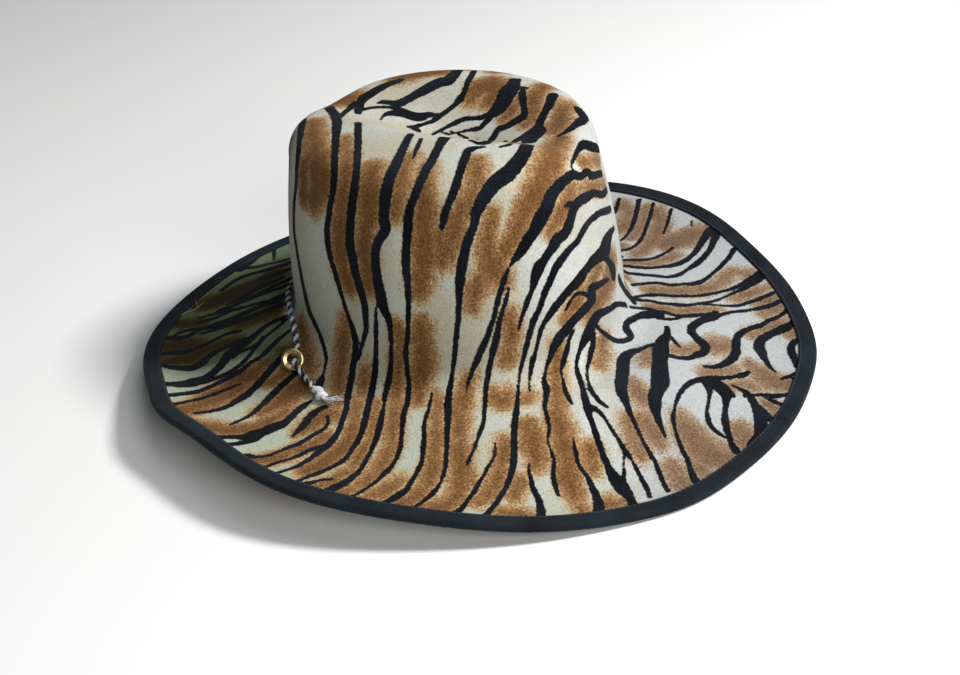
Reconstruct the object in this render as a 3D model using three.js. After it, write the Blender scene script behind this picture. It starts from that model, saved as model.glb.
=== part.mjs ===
// A wide-brimmed soft hat with a dented crown, pressed from one piece of printed plush.
// Millimetres, +Z up, front of the hat along -Y, resting on the plane z = 0.
import * as THREE from 'three';

// Plush wall, edge tape and the clearance between separate pieces
const wall = 2.4;
const tape = 0.9;
const gap = 0.3;
const tapeWidth = 8.4;

// Brim, measured over the tape
const brimLength = 388;
const brimWidth = 357.5;
const brimSide = 2.3;
const sideLift = 22;
const leftLift = 1.15;
const liftPower = 2.26;
const restShare = 0.2;
const brimDip = 4;
const curlPower = 1.7;
const levelMargin = 1;
const edgeBulge = 7.8;
const edgeBulges = [
  { angle: 197, span: 17, share: 1 },
  { angle: 167, span: 8, share: 0.55 },
  { angle: 258, span: 10, share: 0.38 },
  { angle: 306, span: 9, share: 0.28 },
  { angle: 337, span: 13, share: -0.5 },
];

// Foot of the crown, where it turns into the brim
const footLength = 197.4;
const footWidth = 172;
const footHeight = 20.1;
const footBack = 5.8;
const footSide = -0.1;
const footRadius = 18;

// Top of the crown
const rimLength = 181;
const rimWidth = 151.6;
const rimBack = 7.6;
const rimSide = -0.2;
const rimRadius = 16.5;
const crownHeight = 140.9;
const crownDome = 5.9;
const backFall = 4;
const wallBulge = 2;
const wallFlare = 1.15;

// Long dent in the top, its front end turned to the right, with a low outlet at each end.
// dentTurn is in degrees; ridgeShare rounds its rim and outletStart is where an outlet begins,
// as shares of its half length
const dentLength = 170;
const dentWidth = 80;
const dentDepth = 27;
const dentTurn = 14;
const dentSide = 10;
const dentBack = 2;
const ridgeShare = 0.15;
const frontOutlet = 6;
const backOutlet = 4;
const outletWidth = 24;
const outletStart = 0.3;

// Soft upright folds in the crown's wall: angle and span in degrees, depth as a share of
// foldDepth, start and end as shares of the wall's height below the rim
const foldDepth = 3;
const folds = [
  { angle: 203, span: 9, depth: 1, start: 0, end: 0.85 },
  { angle: 182, span: 11, depth: -0.8, start: 0.1, end: 1 },
];

// Twisted cord, its knot and the brass eyelet ring on it
const cordDiameter = 3;
const cordSides = 8;
const cordSteps = 80;
const knotRadius = 3;
const knotLength = 14;
const ringDiameter = 12.4;
const ringWire = 2.6;

// Mesh density: stations round the hat and rows in each stretch of its profile
const stations = 64;
const profileRows = [
  { stretch: 'top', rows: 9 },
  { stretch: 'rim', rows: 4 },
  { stretch: 'wall', rows: 8 },
  { stretch: 'foot', rows: 4 },
  { stretch: 'brim', rows: 8 },
];

// The cord's route: from its sewn end at the right, round behind the crown at its foot,
// forward on the left, up through the ring and on to the knot
const cordRoute = [
  [90.4, -23.4, 29.1],
  [93.1, -8.9, 29.1],
  [94.0, 9.5, 29.1],
  [91.3, 31.4, 29.1],
  [84.7, 52.2, 29.1],
  [74.4, 71.1, 29.1],
  [60.8, 87.3, 29.1],
  [44.5, 99.9, 29.1],
  [26.1, 108.4, 29.1],
  [6.5, 112.4, 29.1],
  [-13.4, 111.6, 29.1],
  [-30.8, 105.9, 29.8],
  [-45.2, 97.5, 30.7],
  [-56.8, 87.7, 32.2],
  [-67.8, 73.4, 33.8],
  [-76.2, 60.5, 33.8],
  [-83.2, 49.0, 31.7],
  [-90.1, 38.6, 28.7],
  [-95.8, 31.8, 27.7],
  [-101.7, 26.3, 28.8],
  [-104.4, 20.2, 28.2],
  [-106.2, 11.5, 26.6],
  [-108.8, 4.6, 27.1],
  [-110.0, -0.1, 26.9],
];
const knotStart = new THREE.Vector3(-110.1, -0.6, 26.8);
const knotTowards = new THREE.Vector3(-0.168, -0.976, -0.14).normalize();
const ringCentre = new THREE.Vector3(-102.1, 26.5, 29.4);
const ringAxis = new THREE.Vector3(-0.6, -0.6, 0.53).normalize();

const radians = THREE.MathUtils.degToRad;
const underEdge = wall + gap + tape;

function smooth(value) {
  const t = Math.min(1, Math.max(0, value));
  return t * t * (3 - 2 * t);
}

function turnBetween(a, b) {
  return ((((a - b + 180) % 360) + 360) % 360) - 180;
}

// How far an angle is from the front and the back, 0 on the two arcs that rest and 1 at the sides
function sideShare(angle) {
  const across = Math.abs(Math.cos(radians(angle)));
  return Math.max(0, (across - restShare) / (1 - restShare));
}

// Outward direction of an ellipse of the given half sizes, in the plane
function outward(angle, halfWidth, halfLength) {
  const a = radians(angle);
  return new THREE.Vector2(Math.cos(a) / halfWidth, Math.sin(a) / halfLength).normalize();
}

function ellipsePoint(angle, halfWidth, halfLength, side, back) {
  const a = radians(angle);
  return new THREE.Vector2(side + halfWidth * Math.cos(a), back + halfLength * Math.sin(a));
}

// Edge of the plush, inside the folded tape
function edgePoint(angle) {
  const out = outward(angle, brimWidth / 2, brimLength / 2);
  let grow = -tape - gap;
  for (const bulge of edgeBulges) {
    const away = turnBetween(angle, bulge.angle) / bulge.span;
    grow += edgeBulge * bulge.share * Math.exp(-away * away);
  }
  const flat = ellipsePoint(angle, brimWidth / 2, brimLength / 2, brimSide, 0).addScaledVector(out, grow);
  const lift = sideLift * Math.pow(sideShare(angle), liftPower);
  const left = Math.cos(radians(angle)) < 0 ? leftLift : 1;
  return new THREE.Vector3(flat.x, flat.y, lift * left + underEdge);
}

function outletDrop(share, drop) {
  return drop * smooth((share - outletStart) / (1 - outletStart));
}

// Depth of the dent below the domed top, from a place's share along and across it
function dentDrop(x, y) {
  const turn = radians(dentTurn);
  const u = x - dentSide;
  const v = y - dentBack;
  const along = (u * Math.sin(turn) - v * Math.cos(turn)) / (dentLength / 2);
  const across = u * Math.cos(turn) + v * Math.sin(turn);
  const inside = Math.max(0, 1 - Math.hypot(across / (dentWidth / 2), along));
  const dent = (dentDepth * inside * inside * (1 + ridgeShare)) / (inside + ridgeShare);
  const groove = Math.exp(-((across / outletWidth) ** 2));
  return dent + groove * (outletDrop(along, frontOutlet) + outletDrop(-along, backOutlet));
}

function topHeight(x, y) {
  const u = x - rimSide;
  const v = y - rimBack;
  const dome = crownDome * ((u / (rimWidth / 2)) ** 2 + (v / (rimLength / 2)) ** 2);
  const fall = backFall * smooth(0.5 + (v - u) / rimLength);
  return crownHeight + underEdge - dome - fall - dentDrop(x, y);
}

const rimStart = 1 - rimRadius / (rimWidth / 2);

function topPoint(angle, share) {
  const k = rimStart * share;
  const p = ellipsePoint(angle, (rimWidth / 2) * k, (rimLength / 2) * k, rimSide, rimBack);
  return new THREE.Vector3(p.x, p.y, topHeight(p.x, p.y));
}

function rimPoint(angle, share) {
  const turn = (share * Math.PI) / 2;
  const k = rimStart + (1 - rimStart) * Math.sin(turn);
  const p = ellipsePoint(angle, (rimWidth / 2) * k, (rimLength / 2) * k, rimSide, rimBack);
  return new THREE.Vector3(p.x, p.y, topPoint(angle, 1).z - rimRadius * (1 - Math.cos(turn)));
}

function foldOut(angle, share) {
  let out = wallBulge * Math.sin(Math.PI * share);
  for (const fold of folds) {
    const along = Math.min(1, Math.max(0, (share - fold.start) / (fold.end - fold.start)));
    const away = turnBetween(angle, fold.angle) / fold.span;
    out += foldDepth * fold.depth * Math.exp(-away * away) * Math.sin(Math.PI * along);
  }
  return out;
}

function wallPoint(angle, share) {
  const above = ellipsePoint(angle, rimWidth / 2, rimLength / 2, rimSide, rimBack);
  const below = ellipsePoint(angle, footWidth / 2, footLength / 2, footSide, footBack);
  const out = outward(angle, footWidth / 2, footLength / 2);
  const p = above.lerp(below, Math.pow(share, wallFlare)).addScaledVector(out, foldOut(angle, share));
  const high = rimPoint(angle, 1).z;
  const low = footHeight + underEdge + footRadius;
  return new THREE.Vector3(p.x, p.y, high + (low - high) * share);
}

function footPoint(angle, share) {
  const turn = (share * Math.PI) / 2;
  const out = outward(angle, footWidth / 2, footLength / 2);
  const p = ellipsePoint(angle, footWidth / 2, footLength / 2, footSide, footBack);
  p.addScaledVector(out, footRadius * (1 - Math.cos(turn)));
  return new THREE.Vector3(p.x, p.y, footHeight + underEdge + footRadius * (1 - Math.sin(turn)));
}

function brimPoint(angle, share) {
  const start = footPoint(angle, 1);
  const end = edgePoint(angle);
  const width = Math.hypot(end.x - start.x, end.y - start.y);
  const falling = smooth((share * width) / (width - tapeWidth - levelMargin));
  const rising = Math.pow(share, curlPower);
  const rise = (end.z - start.z) * (end.z > start.z ? rising : falling);
  const dip = brimDip * sideShare(angle) * Math.sin(Math.PI * share);
  const x = THREE.MathUtils.lerp(start.x, end.x, share);
  const y = THREE.MathUtils.lerp(start.y, end.y, share);
  return new THREE.Vector3(x, y, start.z + rise - dip);
}

// The hat's upper skin: place runs from 0 at the top's middle through one unit for each stretch
const stretches = { top: topPoint, rim: rimPoint, wall: wallPoint, foot: footPoint, brim: brimPoint };

function skinPoint(angle, place) {
  const index = Math.min(profileRows.length - 1, Math.floor(place));
  return stretches[profileRows[index].stretch](angle, place - index);
}

function skinNormal(angle, place) {
  if (place <= 0) {
    return new THREE.Vector3(0, 0, 1);
  }
  const step = 0.02;
  const inner = skinPoint(angle, Math.max(0, place - step));
  const outer = skinPoint(angle, Math.min(profileRows.length, place + step));
  const ahead = skinPoint(angle + 1, place).sub(skinPoint(angle - 1, place));
  return outer.sub(inner).cross(ahead).normalize();
}

function offsetPoint(angle, place, distance) {
  return skinPoint(angle, place).addScaledVector(skinNormal(angle, place), distance);
}

// A closed mesh from rings of points, which either close on themselves or end in two poles
function meshFromRings(rings, poles) {
  const count = rings[0].length;
  const positions = [];
  const faces = [];
  rings.forEach((ring) => ring.forEach((p) => positions.push(p.x, p.y, p.z)));
  const last = poles ? rings.length - 1 : rings.length;
  for (let r = 0; r < last; r += 1) {
    const next = (r + 1) % rings.length;
    for (let i = 0; i < count; i += 1) {
      const j = (i + 1) % count;
      const a = r * count + i;
      const b = next * count + i;
      const c = next * count + j;
      const d = r * count + j;
      faces.push(a, b, c, a, c, d);
    }
  }
  if (poles) {
    positions.push(poles[0].x, poles[0].y, poles[0].z, poles[1].x, poles[1].y, poles[1].z);
    const first = rings.length * count;
    const end = (rings.length - 1) * count;
    for (let i = 0; i < count; i += 1) {
      const j = (i + 1) % count;
      faces.push(first, i, j, end + i, first + 1, end + j);
    }
  }
  const geometry = new THREE.BufferGeometry();
  geometry.setAttribute('position', new THREE.Float32BufferAttribute(positions, 3));
  geometry.setIndex(faces);
  geometry.computeVertexNormals();
  return geometry;
}

function stationAngles() {
  return Array.from({ length: stations }, (_, i) => (360 * i) / stations);
}

// Crown and brim: the skin, and below it the same skin one wall further in
function crownAndBrim() {
  const places = [];
  profileRows.forEach(({ rows }, index) => {
    for (let row = 1; row <= rows; row += 1) {
      places.push(index + row / rows);
    }
  });
  const angles = stationAngles();
  const outer = places.map((place) => angles.map((angle) => skinPoint(angle, place)));
  const inner = places.map((place) => angles.map((angle) => offsetPoint(angle, place, -wall)));
  const middle = skinPoint(0, 0);
  const under = middle.clone().setZ(middle.z - wall);
  return meshFromRings([...outer, ...inner.reverse()], [middle, under]);
}

// Tape folded over the edge: each section runs over the top, round the edge, back below
// and returns along the clearance to the plush
function tapeSection(angle) {
  const brim = profileRows.length;
  const width = skinPoint(angle, brim - 1).distanceTo(skinPoint(angle, brim));
  const within = brim - tapeWidth / width;
  const out = skinPoint(angle, brim).sub(skinPoint(angle, within)).normalize();
  const middle = offsetPoint(angle, brim, -wall / 2).addScaledVector(out, gap + tape);
  const lower = offsetPoint(angle, brim, -wall - gap).addScaledVector(out, gap);
  const upper = offsetPoint(angle, brim, gap).addScaledVector(out, gap);
  return [
    offsetPoint(angle, within, gap + tape),
    offsetPoint(angle, brim, gap + tape),
    middle,
    offsetPoint(angle, brim, -underEdge),
    offsetPoint(angle, within, -underEdge),
    offsetPoint(angle, within, -wall - gap),
    lower,
    upper,
    offsetPoint(angle, within, gap),
  ];
}

function brimBinding() {
  const sections = stationAngles().map(tapeSection);
  const rings = sections[0].map((_, corner) => sections.map((section) => section[corner]));
  return meshFromRings(rings, null);
}

function cord() {
  const section = new THREE.Shape();
  for (let i = 0; i < cordSides; i += 1) {
    const a = (2 * Math.PI * i) / cordSides;
    const x = (cordDiameter / 2) * Math.cos(a);
    const y = (cordDiameter / 2) * Math.sin(a);
    if (i === 0) {
      section.moveTo(x, y);
    } else {
      section.lineTo(x, y);
    }
  }
  section.closePath();
  const extrudePath = new THREE.CatmullRomCurve3(cordRoute.map((p) => new THREE.Vector3(...p)));
  return new THREE.ExtrudeGeometry(section, { steps: cordSteps, extrudePath, bevelEnabled: false });
}

// Knot: two turns of the cord drawn tight, then a short frayed end. Shares of its length and radius
const knotProfile = [
  { along: 0, radius: 0 },
  { along: 0, radius: 0.5 },
  { along: 0.08, radius: 0.86 },
  { along: 0.2, radius: 1 },
  { along: 0.3, radius: 0.9 },
  { along: 0.42, radius: 0.98 },
  { along: 0.53, radius: 0.72 },
  { along: 0.62, radius: 0.45 },
  { along: 0.85, radius: 0.55 },
  { along: 1, radius: 0.3 },
  { along: 1, radius: 0 },
];

function cordKnot() {
  const profile = knotProfile.map(
    ({ along, radius }) => new THREE.Vector2(radius * knotRadius, along * knotLength),
  );
  return new THREE.LatheGeometry(profile, 12);
}

function solid(name, geometry, color, roughness, metalness) {
  const material = new THREE.MeshStandardMaterial({ color, roughness, metalness });
  const mesh = new THREE.Mesh(geometry, material);
  mesh.name = name;
  return mesh;
}

const plush = solid('crown_and_brim', crownAndBrim(), 0xa9855c, 0.95, 0);
const binding = solid('brim_binding', brimBinding(), 0x17171b, 0.8, 0);
const twistedCord = solid('cord', cord(), 0x8f9296, 0.85, 0);

const knot = solid('cord_knot', cordKnot(), 0xd9dadd, 0.85, 0);
knot.position.copy(knotStart);
knot.quaternion.setFromUnitVectors(new THREE.Vector3(0, 1, 0), knotTowards);

const torus = new THREE.TorusGeometry((ringDiameter - ringWire) / 2, ringWire / 2, 8, 24);
const ring = solid('eyelet_ring', torus, 0xb99a4a, 0.35, 0.9);
ring.position.copy(ringCentre);
ring.quaternion.setFromUnitVectors(new THREE.Vector3(0, 0, 1), ringAxis);

const hat = new THREE.Group();
hat.add(plush, binding, twistedCord, ring, knot);

export default hat;
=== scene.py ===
# A wide-brimmed hat of printed plush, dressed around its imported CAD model.
# Metres, +Z up, front of the hat along -Y, resting on the plane z = 0.
import math

import bmesh
import bpy
import numpy as np
from mathutils import Matrix, Vector
from mathutils.bvhtree import BVHTree


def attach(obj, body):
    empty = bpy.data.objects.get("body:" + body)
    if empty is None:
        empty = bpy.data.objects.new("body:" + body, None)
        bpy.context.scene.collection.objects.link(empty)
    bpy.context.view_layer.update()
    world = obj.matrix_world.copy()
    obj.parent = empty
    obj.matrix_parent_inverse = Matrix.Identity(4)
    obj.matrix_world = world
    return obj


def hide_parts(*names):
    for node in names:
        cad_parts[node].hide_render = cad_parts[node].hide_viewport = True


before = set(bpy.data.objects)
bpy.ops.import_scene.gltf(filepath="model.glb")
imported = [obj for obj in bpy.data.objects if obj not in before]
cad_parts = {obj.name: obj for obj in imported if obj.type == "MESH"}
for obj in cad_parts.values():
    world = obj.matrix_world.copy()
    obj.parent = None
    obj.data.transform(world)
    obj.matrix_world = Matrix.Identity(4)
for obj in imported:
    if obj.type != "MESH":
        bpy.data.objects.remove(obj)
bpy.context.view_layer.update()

MM = 0.001

# Photograph's frame, and where the hat stands in it
PHOTO_WIDTH = 960
PHOTO_HEIGHT = 675
FOCAL_PIXELS = 1520.75
SENSOR_WIDTH = 36.0
CAMERA_TARGET = (0.0023, 0.0, 0.0551)
CAMERA_AZIMUTH = -40.91
CAMERA_ELEVATION = 26.97
CAMERA_ROLL = -5.33
CAMERA_DISTANCE = 0.840
TARGET_PIXEL = (465.04, 258.78)

LIGHTS = [
    {"name": "key", "place": (0.84, -0.98, 1.45), "size": 0.36, "watts": 40, "color": (1, 0.99, 0.97)},
    {"name": "front", "place": (-0.48, -1.42, 0.85), "size": 0.8, "watts": 13.5, "color": (1, 1, 0.97)},
    {"name": "top", "place": (0.35, -0.35, 1.8), "size": 1.0, "watts": 6, "color": (0.97, 0.99, 1)},
]
LIGHT_AIM = Vector((0, 0, 0.05))
AMBIENT = 0.08
AMBIENT_COLOR = (0.95, 0.98, 1)

# Hat's driving sizes, the same as in the CAD model
WALL = 0.0024
TAPE = 0.0009
GAP = 0.0003
TAPE_WIDTH = 0.0084
BRIM_LENGTH = 0.388
BRIM_WIDTH = 0.3575
BRIM_SIDE = 0.0023
SIDE_LIFT = 0.022
LEFT_LIFT = 1.15
LIFT_POWER = 2.26
REST_SHARE = 0.2
BRIM_DIP = 0.004
CURL_POWER = 1.7
LEVEL_MARGIN = 0.001
EDGE_BULGE = 0.0078
EDGE_BULGES = [
    {"angle": 197, "span": 17, "share": 1},
    {"angle": 167, "span": 8, "share": 0.55},
    {"angle": 258, "span": 10, "share": 0.38},
    {"angle": 306, "span": 9, "share": 0.28},
    {"angle": 337, "span": 13, "share": -0.5},
]
FOOT_LENGTH = 0.1974
FOOT_WIDTH = 0.172
FOOT_HEIGHT = 0.0201
FOOT_BACK = 0.0058
FOOT_SIDE = -0.0001
FOOT_RADIUS = 0.018
RIM_LENGTH = 0.181
RIM_WIDTH = 0.1516
RIM_BACK = 0.0076
RIM_SIDE = -0.0002
RIM_RADIUS = 0.0165
CROWN_HEIGHT = 0.1409
CROWN_DOME = 0.0059
BACK_FALL = 0.004
WALL_BULGE = 0.002
WALL_FLARE = 1.15
DENT_LENGTH = 0.170
DENT_WIDTH = 0.080
DENT_DEPTH = 0.027
DENT_TURN = 14
DENT_SIDE = 0.010
DENT_BACK = 0.002
RIDGE_SHARE = 0.15
FRONT_OUTLET = 0.006
BACK_OUTLET = 0.004
OUTLET_WIDTH = 0.024
OUTLET_START = 0.3
FOLD_DEPTH = 0.003
FOLDS = [
    {"angle": 203, "span": 9, "depth": 1, "start": 0, "end": 0.85},
    {"angle": 182, "span": 11, "depth": -0.8, "start": 0.1, "end": 1},
]
UNDER_EDGE = WALL + GAP + TAPE
RIM_START = 1 - RIM_RADIUS / (RIM_WIDTH / 2)

# Stretches of the hat's profile, from the middle of its top to the brim's edge
TOP, RIM, SIDE, FOOT, BRIM, EDGE = range(6)

RING_DIAMETER = 0.0124
RING_WIRE = 0.0026
CORD_ROUTE = [
    (0.0904, -0.0234, 0.0291),
    (0.0931, -0.0089, 0.0291),
    (0.0940, 0.0095, 0.0291),
    (0.0913, 0.0314, 0.0291),
    (0.0847, 0.0522, 0.0291),
    (0.0744, 0.0711, 0.0291),
    (0.0608, 0.0873, 0.0291),
    (0.0445, 0.0999, 0.0291),
    (0.0261, 0.1084, 0.0291),
    (0.0065, 0.1124, 0.0291),
    (-0.0134, 0.1116, 0.0291),
    (-0.0308, 0.1059, 0.0298),
    (-0.0452, 0.0975, 0.0307),
    (-0.0568, 0.0877, 0.0322),
    (-0.0678, 0.0734, 0.0338),
    (-0.0762, 0.0605, 0.0338),
    (-0.0832, 0.0490, 0.0317),
    (-0.0901, 0.0386, 0.0287),
    (-0.0958, 0.0318, 0.0277),
    (-0.1017, 0.0263, 0.0288),
    (-0.1044, 0.0202, 0.0282),
    (-0.1062, 0.0115, 0.0266),
    (-0.1088, 0.0046, 0.0271),
    (-0.1100, -0.0001, 0.0269),
]
KNOT_START = Vector((-0.1101, -0.0006, 0.0268))
KNOT_TOWARDS = Vector((-0.168, -0.976, -0.14)).normalized()
RING_CENTRE = Vector((-0.1021, 0.0265, 0.0294))
RING_AXIS = Vector((-0.6, -0.6, 0.53)).normalized()


# Shape of the hat's upper skin

def smooth(value):
    t = np.clip(value, 0, 1)
    return t * t * (3 - 2 * t)


def turn_between(a, b):
    return (a - b + 180) % 360 - 180


def side_share(angle):
    across = np.abs(np.cos(np.radians(angle)))
    return np.maximum(0, (across - REST_SHARE) / (1 - REST_SHARE))


def outward(angle, half_width, half_length):
    a = np.radians(angle)
    out = np.stack([np.cos(a) / half_width, np.sin(a) / half_length], axis=-1)
    return out / np.linalg.norm(out, axis=-1, keepdims=True)


def ellipse_point(angle, half_width, half_length, side, back):
    a = np.radians(angle)
    return np.stack([side + half_width * np.cos(a), back + half_length * np.sin(a)], axis=-1)


def with_height(flat, z):
    return np.concatenate([flat, np.broadcast_to(z, flat.shape[:-1])[..., None]], axis=-1)


def edge_point(angle):
    out = outward(angle, BRIM_WIDTH / 2, BRIM_LENGTH / 2)
    grow = -TAPE - GAP
    for row in EDGE_BULGES:
        away = turn_between(angle, row["angle"]) / row["span"]
        grow = grow + EDGE_BULGE * row["share"] * np.exp(-away * away)
    flat = ellipse_point(angle, BRIM_WIDTH / 2, BRIM_LENGTH / 2, BRIM_SIDE, 0) + out * grow[..., None]
    left = np.where(np.cos(np.radians(angle)) < 0, LEFT_LIFT, 1)
    return with_height(flat, SIDE_LIFT * side_share(angle) ** LIFT_POWER * left + UNDER_EDGE)


def outlet_drop(share, drop):
    return drop * smooth((share - OUTLET_START) / (1 - OUTLET_START))


def dent_drop(x, y):
    turn = math.radians(DENT_TURN)
    u = x - DENT_SIDE
    v = y - DENT_BACK
    along = (u * math.sin(turn) - v * math.cos(turn)) / (DENT_LENGTH / 2)
    across = u * math.cos(turn) + v * math.sin(turn)
    inside = np.maximum(0, 1 - np.hypot(across / (DENT_WIDTH / 2), along))
    dent = DENT_DEPTH * inside * inside * (1 + RIDGE_SHARE) / (inside + RIDGE_SHARE)
    groove = np.exp(-((across / OUTLET_WIDTH) ** 2))
    return dent + groove * (outlet_drop(along, FRONT_OUTLET) + outlet_drop(-along, BACK_OUTLET))


def top_height(x, y):
    u = x - RIM_SIDE
    v = y - RIM_BACK
    dome = CROWN_DOME * ((u / (RIM_WIDTH / 2)) ** 2 + (v / (RIM_LENGTH / 2)) ** 2)
    fall = BACK_FALL * smooth(0.5 + (v - u) / RIM_LENGTH)
    return CROWN_HEIGHT + UNDER_EDGE - dome - fall - dent_drop(x, y)


def top_point(angle, share):
    k = RIM_START * share
    p = ellipse_point(angle, RIM_WIDTH / 2 * k, RIM_LENGTH / 2 * k, RIM_SIDE, RIM_BACK)
    return with_height(p, top_height(p[..., 0], p[..., 1]))


def rim_point(angle, share):
    turn = share * math.pi / 2
    k = RIM_START + (1 - RIM_START) * np.sin(turn)
    p = ellipse_point(angle, RIM_WIDTH / 2 * k, RIM_LENGTH / 2 * k, RIM_SIDE, RIM_BACK)
    high = top_point(angle, np.ones_like(share))[..., 2]
    return with_height(p, high - RIM_RADIUS * (1 - np.cos(turn)))


def fold_out(angle, share):
    out = WALL_BULGE * np.sin(math.pi * share)
    for fold in FOLDS:
        along = np.clip((share - fold["start"]) / (fold["end"] - fold["start"]), 0, 1)
        away = turn_between(angle, fold["angle"]) / fold["span"]
        out = out + FOLD_DEPTH * fold["depth"] * np.exp(-away * away) * np.sin(math.pi * along)
    return out


def wall_point(angle, share):
    above = ellipse_point(angle, RIM_WIDTH / 2, RIM_LENGTH / 2, RIM_SIDE, RIM_BACK)
    below = ellipse_point(angle, FOOT_WIDTH / 2, FOOT_LENGTH / 2, FOOT_SIDE, FOOT_BACK)
    flare = (share ** WALL_FLARE)[..., None]
    out = outward(angle, FOOT_WIDTH / 2, FOOT_LENGTH / 2) * fold_out(angle, share)[..., None]
    high = rim_point(angle, np.ones_like(share))[..., 2]
    low = FOOT_HEIGHT + UNDER_EDGE + FOOT_RADIUS
    return with_height(above + (below - above) * flare + out, high + (low - high) * share)


def foot_point(angle, share):
    turn = share * math.pi / 2
    out = outward(angle, FOOT_WIDTH / 2, FOOT_LENGTH / 2)
    p = ellipse_point(angle, FOOT_WIDTH / 2, FOOT_LENGTH / 2, FOOT_SIDE, FOOT_BACK)
    p = p + out * (FOOT_RADIUS * (1 - np.cos(turn)))[..., None]
    return with_height(p, FOOT_HEIGHT + UNDER_EDGE + FOOT_RADIUS * (1 - np.sin(turn)))


def brim_point(angle, share):
    start = foot_point(angle, np.ones_like(share))
    end = edge_point(angle)
    width = np.linalg.norm((end - start)[..., :2], axis=-1)
    falling = smooth(share * width / (width - TAPE_WIDTH - LEVEL_MARGIN))
    rising = share ** CURL_POWER
    climb = end[..., 2] - start[..., 2]
    rise = climb * np.where(climb > 0, rising, falling)
    dip = BRIM_DIP * side_share(angle) * np.sin(math.pi * share)
    flat = start[..., :2] + (end - start)[..., :2] * share[..., None]
    return with_height(flat, start[..., 2] + rise - dip)


STRETCHES = [top_point, rim_point, wall_point, foot_point, brim_point]


def skin_point(angle, place):
    """Point of the upper skin: angle in degrees, place from 0 at the top's middle to EDGE."""
    angle, place = np.broadcast_arrays(np.asarray(angle, float), np.asarray(place, float))
    index = np.clip(np.floor(place).astype(int), TOP, BRIM)
    points = np.empty(place.shape + (3,))
    for number, stretch in enumerate(STRETCHES):
        there = index == number
        if there.any():
            points[there] = stretch(angle[there], place[there] - number)
    return points


def skin_normal(angle, place):
    step = 0.02
    angle, place = np.broadcast_arrays(np.asarray(angle, float), np.asarray(place, float))
    within = skin_point(angle, np.maximum(0, place - step))
    beyond = skin_point(angle, np.minimum(EDGE, place + step))
    ahead = skin_point(angle + 1, place) - skin_point(angle - 1, place)
    normal = np.cross(beyond - within, ahead)
    size = np.linalg.norm(normal, axis=-1, keepdims=True)
    normal = np.where(size > 0, normal / np.maximum(size, 1e-12), (0, 0, 1))
    return np.where((place <= 0)[..., None], (0.0, 0.0, 1.0), normal)


def offset_point(angle, place, distance):
    return skin_point(angle, place) + skin_normal(angle, place) * np.asarray(distance)[..., None]


# Mesh helpers

def link(name, mesh):
    piece = bpy.data.objects.new(name, mesh)
    bpy.context.scene.collection.objects.link(piece)
    return piece


def dress(piece, node, slot, *materials):
    """Gives a piece its materials, hangs it from the root and hides the CAD node that it stands for; slot
    is not used.
    """
    for material in materials:
        piece.data.materials.append(material)
    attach(piece, "root")
    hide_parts(node)
    return piece


def ring_faces(rows, count):
    """Quads between rows of points, each row closed on itself."""
    r, i = np.meshgrid(np.arange(rows - 1), np.arange(count), indexing="ij")
    j = (i + 1) % count
    quads = np.stack([r * count + i, (r + 1) * count + i, (r + 1) * count + j, r * count + j], axis=-1)
    return quads.reshape(-1, 4)


def build_mesh(name, points, quads, triangles=(), normals=None):
    mesh = bpy.data.meshes.new(name)
    faces = [tuple(int(v) for v in quad) for quad in quads] + [tuple(t) for t in triangles]
    mesh.from_pydata([tuple(p) for p in points.tolist()], [], faces)
    mesh.polygons.foreach_set("use_smooth", [True] * len(mesh.polygons))
    if normals is not None:
        mesh.normals_split_custom_set_from_vertices([tuple(n) for n in normals.tolist()])
    mesh.update()
    return mesh


def profile_places(rows_by_stretch, first):
    places = [first] if first > TOP else []
    for stretch, rows in rows_by_stretch:
        places += [stretch + row / rows for row in range(1, rows + 1)]
    return np.array(places)


# The view

def camera_axes():
    azimuth = math.radians(CAMERA_AZIMUTH)
    elevation = math.radians(CAMERA_ELEVATION)
    roll = math.radians(CAMERA_ROLL)
    back = Vector((math.sin(azimuth) * math.cos(elevation), -math.cos(azimuth) * math.cos(elevation),
                   math.sin(elevation)))
    right = Vector((math.cos(azimuth), math.sin(azimuth), 0))
    up = back.cross(right)
    return (right * math.cos(roll) + up * math.sin(roll),
            up * math.cos(roll) - right * math.sin(roll), back)


def make_camera():
    right, up, back = camera_axes()
    target = Vector(CAMERA_TARGET)
    place = target + back * CAMERA_DISTANCE
    pixel = CAMERA_DISTANCE / FOCAL_PIXELS
    aim = (target + right * pixel * (PHOTO_WIDTH / 2 - TARGET_PIXEL[0])
           + up * pixel * (TARGET_PIXEL[1] - PHOTO_HEIGHT / 2))
    back = (place - aim).normalized()
    right = up.cross(back).normalized()
    up = back.cross(right)
    turn = Matrix((right, up, back)).transposed().to_4x4()
    data = bpy.data.cameras.new("camera")
    data.sensor_width = SENSOR_WIDTH
    data.lens = FOCAL_PIXELS * SENSOR_WIDTH / PHOTO_WIDTH
    data.clip_start = 0.01
    camera = bpy.data.objects.new("camera", data)
    camera.matrix_world = Matrix.Translation(place) @ turn
    bpy.context.scene.collection.objects.link(camera)
    bpy.context.scene.camera = camera
    return camera


def pixel_ray(camera, x, y):
    """Start and direction of the ray through a pixel of the photograph."""
    turn = camera.matrix_world.to_3x3()
    direction = turn @ Vector((x - PHOTO_WIDTH / 2, PHOTO_HEIGHT / 2 - y, -FOCAL_PIXELS))
    return camera.matrix_world.translation, direction.normalized()


# Materials

NOISE_ROUGHNESS = 0.55


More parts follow.
